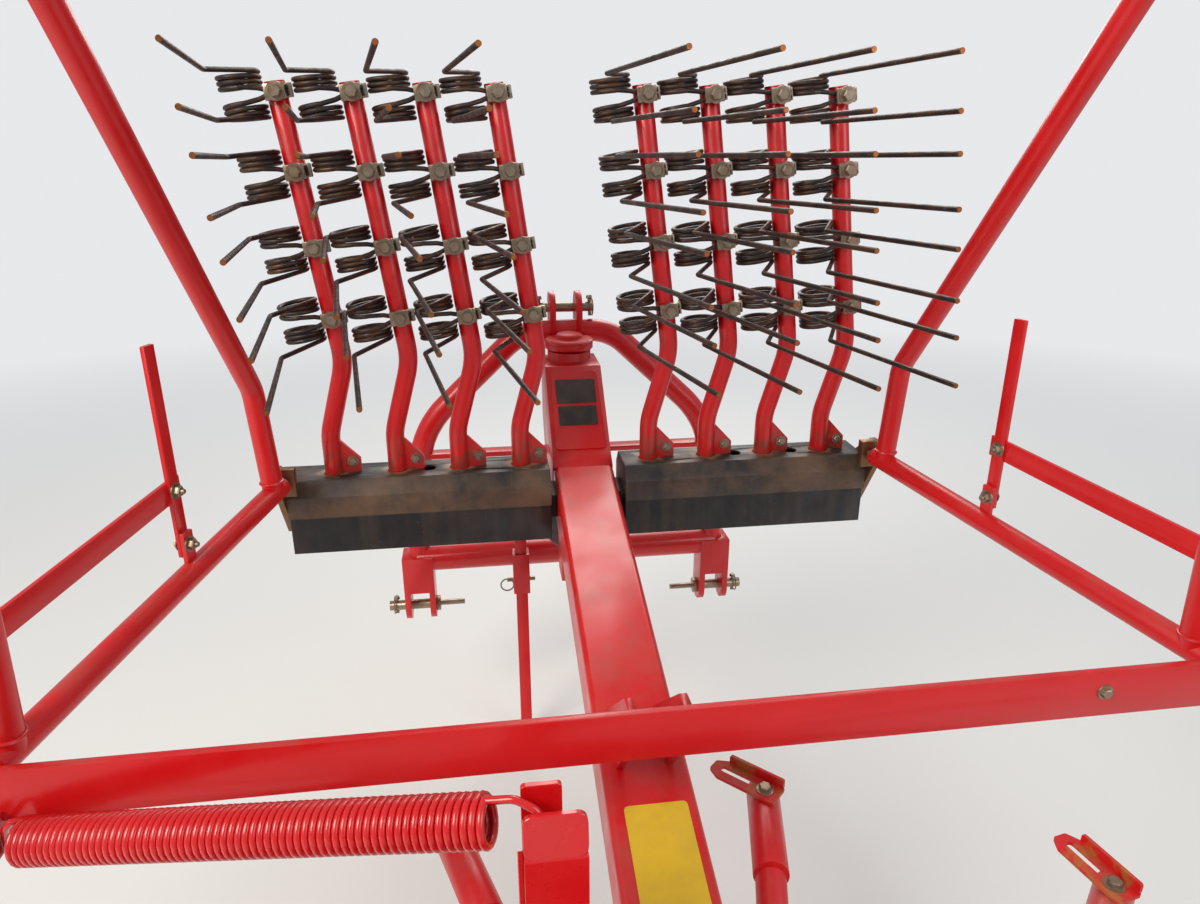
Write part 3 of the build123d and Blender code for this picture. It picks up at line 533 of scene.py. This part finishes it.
def spin_round(bm, geom, axis, steps):
    """Spins a section one full turn about an axis through the origin."""
    bmesh.ops.spin(bm, geom=geom, cent=(0, 0, 0), axis=axis, angle=2 * pi, steps=steps, use_merge=True,
                   use_duplicate=False)


def section_of(bm, points, closed):
    """Verts and edges of a section that stands in the XZ plane."""
    verts = [bm.verts.new((x, 0, z)) for x, z in points]
    ends = verts[1:] + verts[:1] if closed else verts[1:]
    return verts + [bm.edges.new(pair) for pair in zip(verts, ends)]


def ring_on(bm, matrix, radius, thickness, segments=24, sides=8):
    """A round wire ring."""
    part = bmesh.new()
    circle = bmesh.ops.create_circle(part, segments=sides, radius=thickness)
    bmesh.ops.transform(part, matrix=aim((radius, 0, 0), (0, 1, 0)), verts=circle["verts"])
    spin_round(part, part.verts[:] + part.edges[:], (0, 0, 1), segments)
    join(bm, part, matrix)


def socket_turn(index):
    """A socket's turn from straight ahead, and the directions out to it and across it."""
    turn = radians(ROTOR_ANGLE + index * 360 / SOCKETS)
    return turn, Vector((sin(turn), cos(turn), 0)), Vector((cos(turn), -sin(turn), 0))


def arm_matrices():
    """Where each arm's seat is: in the racks, then on the rotor."""
    racks = [Matrix.Translation((place, RACK_Y, RACK_TOP)) for place in ARM_PLACES]
    rotor = []
    for slot in ROTOR_SLOTS:
        _, out, across = socket_turn(slot)
        place = Vector((0, ROTOR_Y, STUB_END_Z)) + out * STUB_END_R
        rotor.append(axes_matrix(-across, Vector((0, 0, 1)), out, place))
    return racks, rotor


def ear_bolt(bm, seat):
    """Bolt through the ear at an arm's foot."""
    out = (seat @ Vector((0, -1, 0)) - seat @ Vector((0, 0, 0))).normalized()
    through_bolt(bm, seat @ Vector((0.043, -0.0052, 0.026)), out, 0.0104, 0.0085)


def tine_matrices(seat):
    """Where each double tine sits along the leaning part of an arm."""
    for up in TINE_UPS:
        across = ELBOW_ACROSS + (up - ELBOW_UP) * (TIP_ACROSS - ELBOW_ACROSS) / (TIP_UP - ELBOW_UP)
        yield seat @ Matrix.Translation((across, 0, up)) @ Matrix.Rotation(ARM_LEAN, 4, "Y")


def coil_points(side, turns, steps=18):
    """Centreline of one coil from its leg in to the bridge."""
    inner = side * (COIL_GAP / 2 + WIRE)
    outer = side * (COIL_GAP / 2 + COIL_HEIGHT - WIRE)
    count = ceil(turns * steps)
    points = []
    for step in range(count + 1):
        angle = 2 * pi * turns * step / count - KNEE_ANGLE
        points.append(Vector((COIL_X + COIL_MIDDLE * cos(angle), COIL_MIDDLE * sin(angle),
                              outer + (inner - outer) * step / count)))
    return points


def tine_mesh(turns, sides):
    """One double tine about the arm's axis: bridge, two coils, two kneed legs, clamp and bolt."""
    bm = bmesh.new()
    for side in (-1, 1):
        coil = coil_points(side, turns)
        knee = coil[0] + KNEE_LENGTH * Vector((-sin(KNEE_ANGLE), -cos(KNEE_ANGLE), 0))
        tip = knee + LEG_LENGTH * Vector((sin(LEG_ANGLE), -cos(LEG_ANGLE), 0))
        leg = rounded([tip, knee, coil[0]], KNEE_BEND, 4)
        inner = coil[-1]
        front = -(ARM_RADIUS + 0.0062)
        bridge = rounded([
            inner + Vector((0.008, 0, 0)),
            Vector((-0.030, front - 0.001, 0.7 * inner.z)),
            Vector((-0.016, front, side * 0.0055)),
            Vector((0.026, front, side * 0.0053)),
        ], BRIDGE_BEND, 3)
        wire_on(bm, leg + coil[1:] + bridge, WIRE, sides)
        cut = bmesh.new()
        bmesh.ops.create_cone(cut, cap_ends=True, segments=sides, radius1=WIRE * 1.03, radius2=WIRE * 0.9,
                              depth=0.0016)
        join(bm, cut, aim(tip, tip - knee), 1)
    # Clamp plate over the bridge, its saddle and the bolt through the arm, all in the third material
    plate_on(bm, CLAMP_PLATE, Matrix.Translation((0.002, -(ARM_RADIUS + 0.0145), 0)), 0.0020, 2, 2)
    plate_on(bm, CLAMP_SADDLE, Matrix.Translation((0.020, -(ARM_RADIUS - 0.003), 0)), 0.0020, 2, 2)
    hex_bolt(bm, (0.004, -(ARM_RADIUS + 0.0175), 0), (0, -1, 0), 0.0125, 0.011, 2)
    hex_bolt(bm, (0.004, ARM_RADIUS + 0.0005, 0), (0, 1, 0), 0.0115, None, 2)
    return bm


class PlainFinishes(bpy.types.Operator):
    """Gives every carried CAD node its procedural finish"""

    bl_idname = "rake.finishes"
    bl_label = "Paint and metal"

    def execute(self, context):
        make_finishes(context.scene.rake_colours)
        special = {
            "rack_left": "rack", "rack_right": "rack", "rack_plates": "rack", "shaft_guard": "plastic",
            "input_shaft": "shaft", "lower_pins": "zinc", "top_link_pin": "zinc", "pivot_brackets": "bracket",
            "stowed_tines_left": "steel", "stowed_tines_right": "steel", "rotor_tines": "steel",
            "stowed_arms": "red_foot", "chassis": "red_dusty", "column": "red_dusty",
            "rotor_drum": "red_dusty", "stub_arms": "red_dusty", "gearbox": "red_dusty",
            "jack_leg": "red_dusty",
        }
        for name, node in frame["nodes"].items():
            finish = special.get(name, "rubber" if name.startswith("tyre") else "red")
            node.data.materials.clear()
            node.data.materials.append(FINISHES[finish])
            for face in node.data.polygons:
                face.use_smooth = True
            weld = node.modifiers.new("Weld", "WELD")
            weld.merge_threshold = SEAM
            rounding = node.modifiers.new("Edges", "BEVEL")
            rounding.width = EDGE_WIDTH
            rounding.segments = 2
            rounding.limit_method = "ANGLE"
            rounding.angle_limit = EDGE_ANGLE
            rounding.harden_normals = True
            rounding.use_clamp_overlap = True
        return {"FINISHED"}


class DoubleTines(bpy.types.Operator):
    """Winds the double tines on every arm"""

    bl_idname = "rake.tines"
    bl_label = "Double tines"

    def execute(self, context):
        sizes = context.scene.rake_sizes
        one = bpy.data.meshes.new("double_tine")
        pattern = tine_mesh(sizes.coil_turns, sizes.wire_sides)
        bmesh.ops.recalc_face_normals(pattern, faces=pattern.faces)
        pattern.to_mesh(one)
        pattern.free()
        racks, rotor = arm_matrices()
        for name, seats, body in (
            ("stowed_tines_left", racks[:4], "frame"),
            ("stowed_tines_right", racks[4:], "frame"),
            ("rotor_tines", rotor, "rotor"),
        ):
            bm = bmesh.new()
            for seat in seats:
                for matrix in tine_matrices(seat):
                    tine = bmesh.new()
                    tine.from_mesh(one)
                    join(bm, tine, matrix)
            finish_piece("coiled_" + name, bm, body, "steel", [name], 40, ("tip", "zinc"))
        bpy.data.meshes.remove(one)
        return {"FINISHED"}


class TensionSpring(bpy.types.Operator):
    """Winds the red tension spring between the crossbar and the post"""

    bl_idname = "rake.spring"
    bl_label = "Tension spring"

    def execute(self, context):
        pitch = context.scene.rake_sizes.spring_pitch
        left, right = (Vector(end) + Vector((0, ROTOR_Y, 0)) for end in (SPRING_LEFT, SPRING_RIGHT))
        along = (right - left).normalized()
        turns = int(((right - left).length - LEAD_LENGTH - TAIL_LENGTH) / pitch)
        base = aim(left + along * LEAD_LENGTH, along, (0, 0, 1))
        steps = 20
        coil = []
        for step in range(turns * steps + 1):
            angle = 2 * pi * step / steps
            across = Vector((cos(angle), -sin(angle), 0)) * SPRING_RADIUS
            coil.append(base @ (across + Vector((0, 0, pitch * step / steps))))
        up = base.col[0].to_3d()
        # From the lug on the crossbar up to the first turn
        lead = rounded([
            left + Vector((0.0052, 0.004, -0.020)),
            left + Vector((0.0052, 0.004, 0.004)),
            left + along * 0.018 + up * (SPRING_RADIUS * 0.75),
            coil[0] - Vector((0.006, -0.004, 0)),
        ], 0.014, 4)
        # Straight out of the last turn, then hooked down behind the post's front
        tail = rounded([
            coil[-1] + along * 0.006,
            coil[-1] + along * 0.034,
            coil[-1] + along * 0.056 - up * 0.016,
            coil[-1] + along * 0.058 - up * 0.034,
        ], 0.020, 5)
        bm = bmesh.new()
        wire_on(bm, lead + coil[1:] + tail[1:], SPRING_WIRE, 10)
        finish_piece("coiled_spring", bm, "frame", "gloss", ["spring"])
        return {"FINISHED"}


class SpringPost(bpy.types.Operator):
    """Folds the spring's post with its round-cornered front and the tab behind the hook"""

    bl_idname = "rake.post"
    bl_label = "Spring post"

    def execute(self, context):
        low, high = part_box("spring_post")
        left, right, rear, front = low.x, low.x + POST_WIDTH, low.y, low.y + POST_DEPTH
        foot, top, fold = low.z, high.z + POST_RISE, high.z - FOLD_DROP
        inside = rear + POST_SHEET
        east, upright = (1, 0, 0), (0, 0, 1)
        bm = bmesh.new()
        # Lower front up to the fold, and the top that leans a little from it
        cut_plate(bm, rectangle(left, right, foot, fold), POST_SHEET, facing((0, inside, 0), east, upright))
        lean = Matrix.Translation((0, inside, fold)) @ Matrix.Rotation(POST_LEAN, 4, "X")
        cut_plate(bm, rectangle(left, right, 0, top - fold), POST_SHEET,
                  lean @ facing((0, 0, 0), east, upright), 0.013)
        wire_on(bm, [(left + 0.001, rear + 0.0045, fold), (right - 0.001, rear + 0.0045, fold)], 0.0042, 12)
        cheek = [(-front, foot), (-inside, foot), (-inside, fold + 0.01), (-front, fold - 0.025)]
        for x in (left, right - POST_SIDE):
            cut_plate(bm, cheek, POST_SIDE, facing((x, 0, 0), (0, -1, 0), upright))
        # Tab that the hook passes in front of
        cut_plate(bm, rectangle(left, left + 0.045, fold - 0.06, top + 0.018), 0.007,
                  facing((0, front - 0.002, 0), east, upright), 0.006)
        # Foot that reaches the beam's side
        foot_z = beam_top(POST_DY) - 0.055
        cut_plate(bm, rectangle(rear, front, foot_z - 0.030, foot_z + 0.030), high.x - right + 0.0055,
                  facing((right - POST_SIDE, 0, 0), (0, 1, 0), upright))
        finish_piece("folded_spring_post", bm, "frame", "gloss", ["spring_post"], 35)
        return {"FINISHED"}


def rail_ends(side):
    """Front and rear ends of a side guard's rail, and the directions along it and out from it."""
    front = Vector((side * RAIL_FRONT[0], ROTOR_Y + RAIL_FRONT[1], RAIL_FRONT[2]))
    rear = Vector((side * RAIL_REAR[0], ROTOR_Y + RAIL_REAR[1], RAIL_REAR[2]))
    along = (rear - front).normalized()
    return front, rear, along, along.cross(Vector((0, 0, 1))).normalized() * -side


def bored_bar(bm, start, end, radius, bore, depth, sides=28):
    """Round bar from start to end with a blind bore in each end."""
    part = bmesh.new()
    length = (end - start).length
    bmesh.ops.create_cone(part, cap_ends=True, segments=sides, radius1=radius, radius2=radius, depth=length)
    for cap in [face for face in part.faces if len(face.verts) == sides]:
        inward = Vector((0, 0, -1 if cap.calc_center_median().z > 0 else 1))
        bmesh.ops.inset_individual(part, faces=[cap], thickness=radius * cos(pi / sides) - bore, depth=0)
        floor = bmesh.ops.extrude_discrete_faces(part, faces=[cap])["faces"][0]
        bmesh.ops.translate(part, verts=floor.verts, vec=inward * depth)
    join(bm, part, aim((start + end) / 2, end - start))


def upright_foot(front, rear):
    """Point of the rail's axis below the upright."""
    return front + (rear - front) * ((RAIL_FRONT[1] - UPRIGHT_DY) / (RAIL_FRONT[1] - RAIL_REAR[1]))


class GuardHoops(bpy.types.Operator):
    """Bends each side guard's hoop, with its rail, its lug and the welds between them"""

    bl_idname = "rake.hoops"
    bl_label = "Guard hoops"

    def execute(self, context):
        for name, side in (("left", -1), ("right", 1)):
            front, rear, along, _ = rail_ends(side)
            bm = bmesh.new()
            bored_bar(bm, front, rear, RAIL_RADIUS, RAIL_BORE, BORE_DEPTH)
            path = [front + along * HOOP_FOOT]
            path += [Vector((side * x, ROTOR_Y + dy, z)) for x, dy, z in HOOP_CORNERS]
            path.append(rear - along * HOOP_FOOT)
            wire_on(bm, rounded(path, HOOP_BEND, 9), RAIL_RADIUS, 28)
            for foot, onward in ((path[0], path[1]), (path[-1], path[-2])):
                lean = (onward - foot).normalized()
                weld = aim(foot + lean * (RAIL_RADIUS + 0.004), lean)
                ring_on(bm, weld, RAIL_RADIUS + 0.0008, HOOP_WELD, 32)
            level = Vector((along.x, along.y, 0)).normalized() * -side
            cut_plate(bm, rectangle(-LUG_WIDTH / 2, LUG_WIDTH / 2, 0, LUG_TOP), LUG_SHEET,
                      facing(upright_foot(front, rear), level, (0, 0, 1)), 0.002)
            finish_piece(f"smooth_hoop_{name}", bm, f"guard_{name}", "red",
                         [f"guard_hoop_{name}"], 35)
        return {"FINISHED"}


class SlottedEnds(bpy.types.Operator):
    """Lays the slotted plate with its raised edge across each empty socket"""

    bl_idname = "rake.slots"
    bl_label = "Slotted ends"

    def execute(self, context):
        bm = bmesh.new()
        outline = [
            (-0.027, -0.024), (0.084, -0.024), (0.105, -0.012),
            (0.105, 0.012), (0.084, 0.024), (-0.027, 0.024),
        ]
        slot = round_corners(rectangle(0.024, 0.088, -0.0065, 0.0065), 0.006, 3)
        for index in range(SOCKETS):
            if index in ROTOR_SLOTS:
                continue
            turn, out, _ = socket_turn(index)
            middle = Vector((0, ROTOR_Y, SOCKET_TOP - 0.0006)) + out * (STUB_END_R - SOCKET_INSET)
            seat = Matrix.Translation(middle) @ Matrix.Rotation(pi / 2 - turn + SLOT_TURN, 4, "Z")
            cut_plate(bm, outline, SLOT_SHEET, seat, 0.006, slot, 0.0010)
            cut_plate(bm, rectangle(-0.025, 0.082, 0, 0.019), SLOT_SHEET,
                      seat @ facing((0, -0.0185, 0.0045), (1, 0, 0), (0, 0, 1)), 0.005)
            hex_bolt(bm, seat @ Vector((0, 0.002, SLOT_SHEET)), (0, 0, 1), 0.011, None, 1)
        finish_piece("slotted_stub_plates", bm, "rotor", "worn", finishes=("zinc",), smooth=30)
        return {"FINISHED"}


class Fasteners(bpy.types.Operator):
    """Bolts, nuts, linch pins and rings where the pieces are joined"""

    bl_idname = "rake.fasteners"
    bl_label = "Bolts and pins"

    def execute(self, context):
        radius = context.scene.rake_sizes.bolt_radius
        # Bars on the side guards
        for name, side in (("left", -1), ("right", 1)):
            front, rear, _, outward = rail_ends(side)
            axis = upright_foot(front, rear)
            bm = bmesh.new()
            for up, outer, grip in ((0.052, 0.0163, 0.0163), (0.150, 0.0243, 0.0160)):
                through_bolt(bm, axis + outward * outer + Vector((0, 0, up)), outward, grip, radius)
            finish_piece(f"guard_bolts_{name}", bm, f"guard_{name}", "zinc", smooth=30)
        # Rotor: flanges on the drum, and the ears of the three arms on it
        bm = bmesh.new()
        for index in range(SOCKETS):
            _, out, across = socket_turn(index)
            face = Vector((0, ROTOR_Y, FLANGE_Z)) + out * DRUM_FACE_R
            for x in (-FLANGE_BOLT, FLANGE_BOLT):
                for z in (-FLANGE_BOLT, FLANGE_BOLT):
                    hex_bolt(bm, face + across * x + Vector((0, 0, z)), out, 0.009)
        racks, rotor = arm_matrices()
        for seat in rotor:
            ear_bolt(bm, seat)
        finish_piece("rotor_bolts", bm, "rotor", "zinc", smooth=30)
        # Frame: ears of the stowed arms, rack brackets and crossbar
        bm = bmesh.new()
        for seat in racks:
            ear_bolt(bm, seat)
        for side in (-1, 1):
            for y, up in ((-0.022, 0), (0.024, 0), (0.024, 0.025)):
                hex_bolt(bm, (side * RACK_END_X, RACK_Y + y, RACK_EDGE + up), (side, 0, 0), radius)
            for dy in (0.752, 0.776):
                hex_bolt(bm, (side * 0.046, ROTOR_Y + dy, CROSSBAR_Z - 0.004), (side, 0, 0), 0.008)
        hex_bolt(bm, (0.668, ROTOR_Y + 0.729, CROSSBAR_Z + 0.004), (0, -1, 0), 0.0085)
        finish_piece("frame_bolts", bm, "frame", "zinc", smooth=30)
        # Headstock: linch pins in the lower pins and the top link's pin, and the jack's pin
        bm = bmesh.new()
        for side in (-1, 1):
            linch_pin(bm, (side * LOWER_LINCH_X, HITCH_Y, LOWER_PIN_Z), (side, 0, 0), (0, 0, -1))
            linch_pin(bm, (side * TOP_LINCH_X, HITCH_Y + 0.020, TOP_LINK_Z), (side, 0, 0), (0, -0.3, -1))
        jack = Vector(JACK_PIN)
        for start, end in ((-0.040, -JACK_FACE), (JACK_FACE, 0.038)):
            wire_on(bm, [jack + Vector((start, 0, 0)), jack + Vector((end, 0, 0))], 0.006, 12)
        ring_on(bm, aim(jack + Vector((-0.040, 0, -0.016)), (0, 1, 0)), 0.018, 0.0022, 24, 8)
        finish_piece("headstock_pins", bm, "headstock", "zinc", smooth=30)
        # King pin's stepped cap
        bm = bmesh.new()
        steps = (
            (0.001, 0.0), (0.062, 0.0), (0.062, 0.006), (0.058, 0.009), (0.036, 0.010), (0.034, 0.013),
            (0.034, 0.018), (0.031, 0.021), (0.001, 0.022),
        )
        spin_round(bm, section_of(bm, steps, False), (0, 0, 1), 40)
        bmesh.ops.holes_fill(bm, edges=[e for e in bm.edges if e.is_boundary], sides=0)
        bmesh.ops.transform(bm, matrix=Matrix.Translation(KING_PIN), verts=bm.verts)
        finish_piece("kingpin_cap", bm, "headstock", "red", smooth=30)
        return {"FINISHED"}


class BlankPlates(bpy.types.Operator):
    """Sticks the blank plates on the beam and the neck, and the neck's cover under them"""

    bl_idname = "rake.plates"
    bl_label = "Blank plates"

    def execute(self, context):
        bm = bmesh.new()
        slope = Vector((0, cos(BEAM_SLOPE), sin(BEAM_SLOPE)))
        place = Vector((0.004, ROTOR_Y + YELLOW_DY, beam_top(YELLOW_DY)))
        place += Vector((0, -slope.z, slope.y)) * 0.0004
        cut_plate(bm, rectangle(-0.049, 0.049, -0.100, 0.100), 0.0009, facing(place, (1, 0, 0), slope), 0.008,
                  edge=0.0002)
        finish_piece("blank_yellow_plate", bm, "frame", "yellow", smooth=30)
        rise = Vector(NECK_RISE).normalized()
        out = Vector((0, -rise.z, rise.y))
        middle = Vector(NECK_MIDDLE)
        bm = bmesh.new()
        cut_plate(bm, [(-0.062, -0.112), (0.062, -0.112), (0.057, 0.108), (-0.057, 0.108)], 0.0035,
                  facing(middle + out * 0.0004, (1, 0, 0), rise), 0.012)
        finish_piece("neck_cover", bm, "frame", "red", smooth=30)
        bm = bmesh.new()
        for low, high, half in ((0.014, 0.082, 0.049), (-0.048, 0.006, 0.047)):
            cut_plate(bm, rectangle(-half, half, low, high), 0.0008,
                      facing(middle + out * 0.0042, (1, 0, 0), rise), 0.003, edge=0.0002)
        finish_piece("blank_dark_plates", bm, "frame", "dark", smooth=30)
        return {"FINISHED"}


class WheelTyres(bpy.types.Operator):
    """Grooved tyres and wheel bolts"""

    bl_idname = "rake.tyres"
    bl_label = "Tyres"

    def execute(self, context):
        depth = context.scene.rake_sizes.tread_depth
        section = (
            (-0.045, 0.1055), (-0.055, 0.114), (-0.063, 0.130), (-0.065, 0.148), (-0.060, 0.165),
            (-0.050, 0.1755), (-0.042, 0.1785), (-0.036, 0.1790), (-0.034, 0.179 - depth),
            (-0.028, 0.179 - depth), (-0.026, 0.1796), (-0.012, 0.180), (-0.010, 0.180 - depth),
            (-0.004, 0.180 - depth), (-0.002, 0.180),
        )
        profile = [*section, *((-x, r) for x, r in reversed(section))]
        for end in ("front", "rear"):
            for side, way in (("left", -1), ("right", 1)):
                node = f"tyre_{end}_{side}"
                low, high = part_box(node)
                hub = (low + high) / 2
                bm = bmesh.new()
                spin_round(bm, section_of(bm, profile, True), (1, 0, 0), 72)
                bmesh.ops.transform(bm, matrix=Matrix.Translation(hub), verts=bm.verts)
                finish_piece(f"ribbed_{node}", bm, f"wheel_{end}_{side}", "rubber", [node], 30)
                bm = bmesh.new()
                for bolt in range(WHEEL_BOLTS):
                    angle = 2 * pi * bolt / WHEEL_BOLTS
                    place = Vector((way * DISC_OUT, BOLT_CIRCLE * cos(angle), BOLT_CIRCLE * sin(angle)))
                    hex_bolt(bm, hub + place, (way, 0, 0), 0.009)
                finish_piece(f"wheel_bolts_{end}_{side}", bm, f"wheel_{end}_{side}", "zinc")
        return {"FINISHED"}


class Stage(bpy.types.Operator):
    """Floor, soft lamps and the photograph's camera"""

    bl_idname = "rake.stage"
    bl_label = "Stage"

    def execute(self, context):
        scene = context.scene
        scene.view_settings.view_transform = "Standard"
        bm = bmesh.new()
        bmesh.ops.create_grid(bm, x_segments=2, y_segments=2, size=30.0)
        mesh = bpy.data.meshes.new("floor")
        bm.to_mesh(mesh)
        bm.free()
        floor = bpy.data.objects.new("floor", mesh)
        scene.collection.objects.link(floor)
        finish, tree, shader = shader_of("pale_floor")
        shader.inputs["Base Color"].default_value = (*scene.rake_colours.floor, 1)
        shader.inputs["Roughness"].default_value = 0.9
        # Far from the rake the floor shows the backdrop's own colour to the camera, so no edge is seen
        glow = tree.nodes.new("ShaderNodeEmission")
        glow.inputs["Color"].default_value = BACKDROP
        coordinates = tree.nodes.new("ShaderNodeTexCoord")
        reach = tree.nodes.new("ShaderNodeVectorMath")
        reach.operation = "LENGTH"
        tree.links.new(coordinates.outputs["Object"], reach.inputs[0])
        rays = tree.nodes.new("ShaderNodeLightPath")
        mixer = tree.nodes.new("ShaderNodeMixShader")
        far = product(tree, ramp(tree, reach.outputs["Value"], 2.2, 8.0), rays.outputs["Is Camera Ray"])
        tree.links.new(far, mixer.inputs["Fac"])
        tree.links.new(shader.outputs["BSDF"], mixer.inputs[1])
        tree.links.new(glow.outputs["Emission"], mixer.inputs[2])
        tree.links.new(mixer.outputs["Shader"], tree.nodes["Material Output"].inputs["Surface"])
        mesh.materials.append(finish)
        world = bpy.data.worlds.new("soft_room")
        scene.world = world
        world.use_nodes = True
        tree = world.node_tree
        room = tree.nodes["Background"]
        room.inputs["Color"].default_value = (0.88, 0.91, 0.96, 1)
        room.inputs["Strength"].default_value = 0.45
        backdrop = tree.nodes.new("ShaderNodeBackground")
        backdrop.inputs["Color"].default_value = BACKDROP
        rays = tree.nodes.new("ShaderNodeLightPath")
        mixer = tree.nodes.new("ShaderNodeMixShader")
        tree.links.new(rays.outputs["Is Camera Ray"], mixer.inputs["Fac"])
        tree.links.new(room.outputs["Background"], mixer.inputs[1])
        tree.links.new(backdrop.outputs["Background"], mixer.inputs[2])
        tree.links.new(mixer.outputs["Shader"], tree.nodes["World Output"].inputs["Surface"])
        for name, place, size, power, tint in (
            ("key", (-3.6, -1.6, 4.2), 2.6, 230, (1.0, 0.93, 0.84)),
            ("fill", (3.6, -2.6, 3.4), 3.2, 90, (0.92, 0.96, 1.0)),
            ("back", (0.8, 4.6, 3.8), 3.0, 120, (1.0, 0.97, 0.92)),
        ):
            light = bpy.data.lights.new(name, "AREA")
            light.size = size
            light.energy = power
            light.color = tint
            lamp = bpy.data.objects.new(name, light)
            scene.collection.objects.link(lamp)
            lamp.location = place
            lamp.rotation_euler = (Vector((0, 0.6, 0.9)) - Vector(place)).to_track_quat("-Z", "Y").to_euler()
        lens = bpy.data.cameras.new("camera")
        lens.sensor_width = SENSOR
        lens.lens = SENSOR * FOCAL_PIXELS / FRAME_PIXELS
        lens.clip_start = 0.02
        camera = bpy.data.objects.new("camera", lens)
        scene.collection.objects.link(camera)
        camera.location = CAMERA_PLACE
        camera.rotation_euler = (radians(90 - CAMERA_DIP), 0, radians(CAMERA_PAN))
        scene.camera = camera
        return {"FINISHED"}


STEPS = (
    (PlainFinishes, "rake.finishes"),
    (DoubleTines, "rake.tines"),
    (TensionSpring, "rake.spring"),
    (SpringPost, "rake.post"),
    (GuardHoops, "rake.hoops"),
    (SlottedEnds, "rake.slots"),
    (Fasteners, "rake.fasteners"),
    (BlankPlates, "rake.plates"),
    (WheelTyres, "rake.tyres"),
    (Stage, "rake.stage"),
)


class RakePanel(bpy.types.Panel):
    """Sizes, colours and steps of the rake"""

    bl_idname = "VIEW3D_PT_rake"
    bl_label = "Rotor rake"
    bl_space_type = "VIEW_3D"
    bl_region_type = "UI"
    bl_category = "Rake"

    def draw(self, context):
        for group in (context.scene.rake_sizes, context.scene.rake_colours):
            for name in group.__annotations__:
                self.layout.prop(group, name)
        for _, operator in STEPS:
            self.layout.operator(operator)


CLASSES = (RakeSizes, RakeColours, *(step for step, _ in STEPS), RakePanel)


def register():
    for one in CLASSES:
        bpy.utils.register_class(one)
    bpy.types.Scene.rake_sizes = PointerProperty(type=RakeSizes)
    bpy.types.Scene.rake_colours = PointerProperty(type=RakeColours)


def unregister():
    del bpy.types.Scene.rake_colours
    del bpy.types.Scene.rake_sizes
    for one in reversed(CLASSES):
        bpy.utils.unregister_class(one)


def main():
    register()
    for _, operator in STEPS:
        group, name = operator.split(".")
        getattr(getattr(bpy.ops, group), name)()


if __name__ == "__main__":
    main()
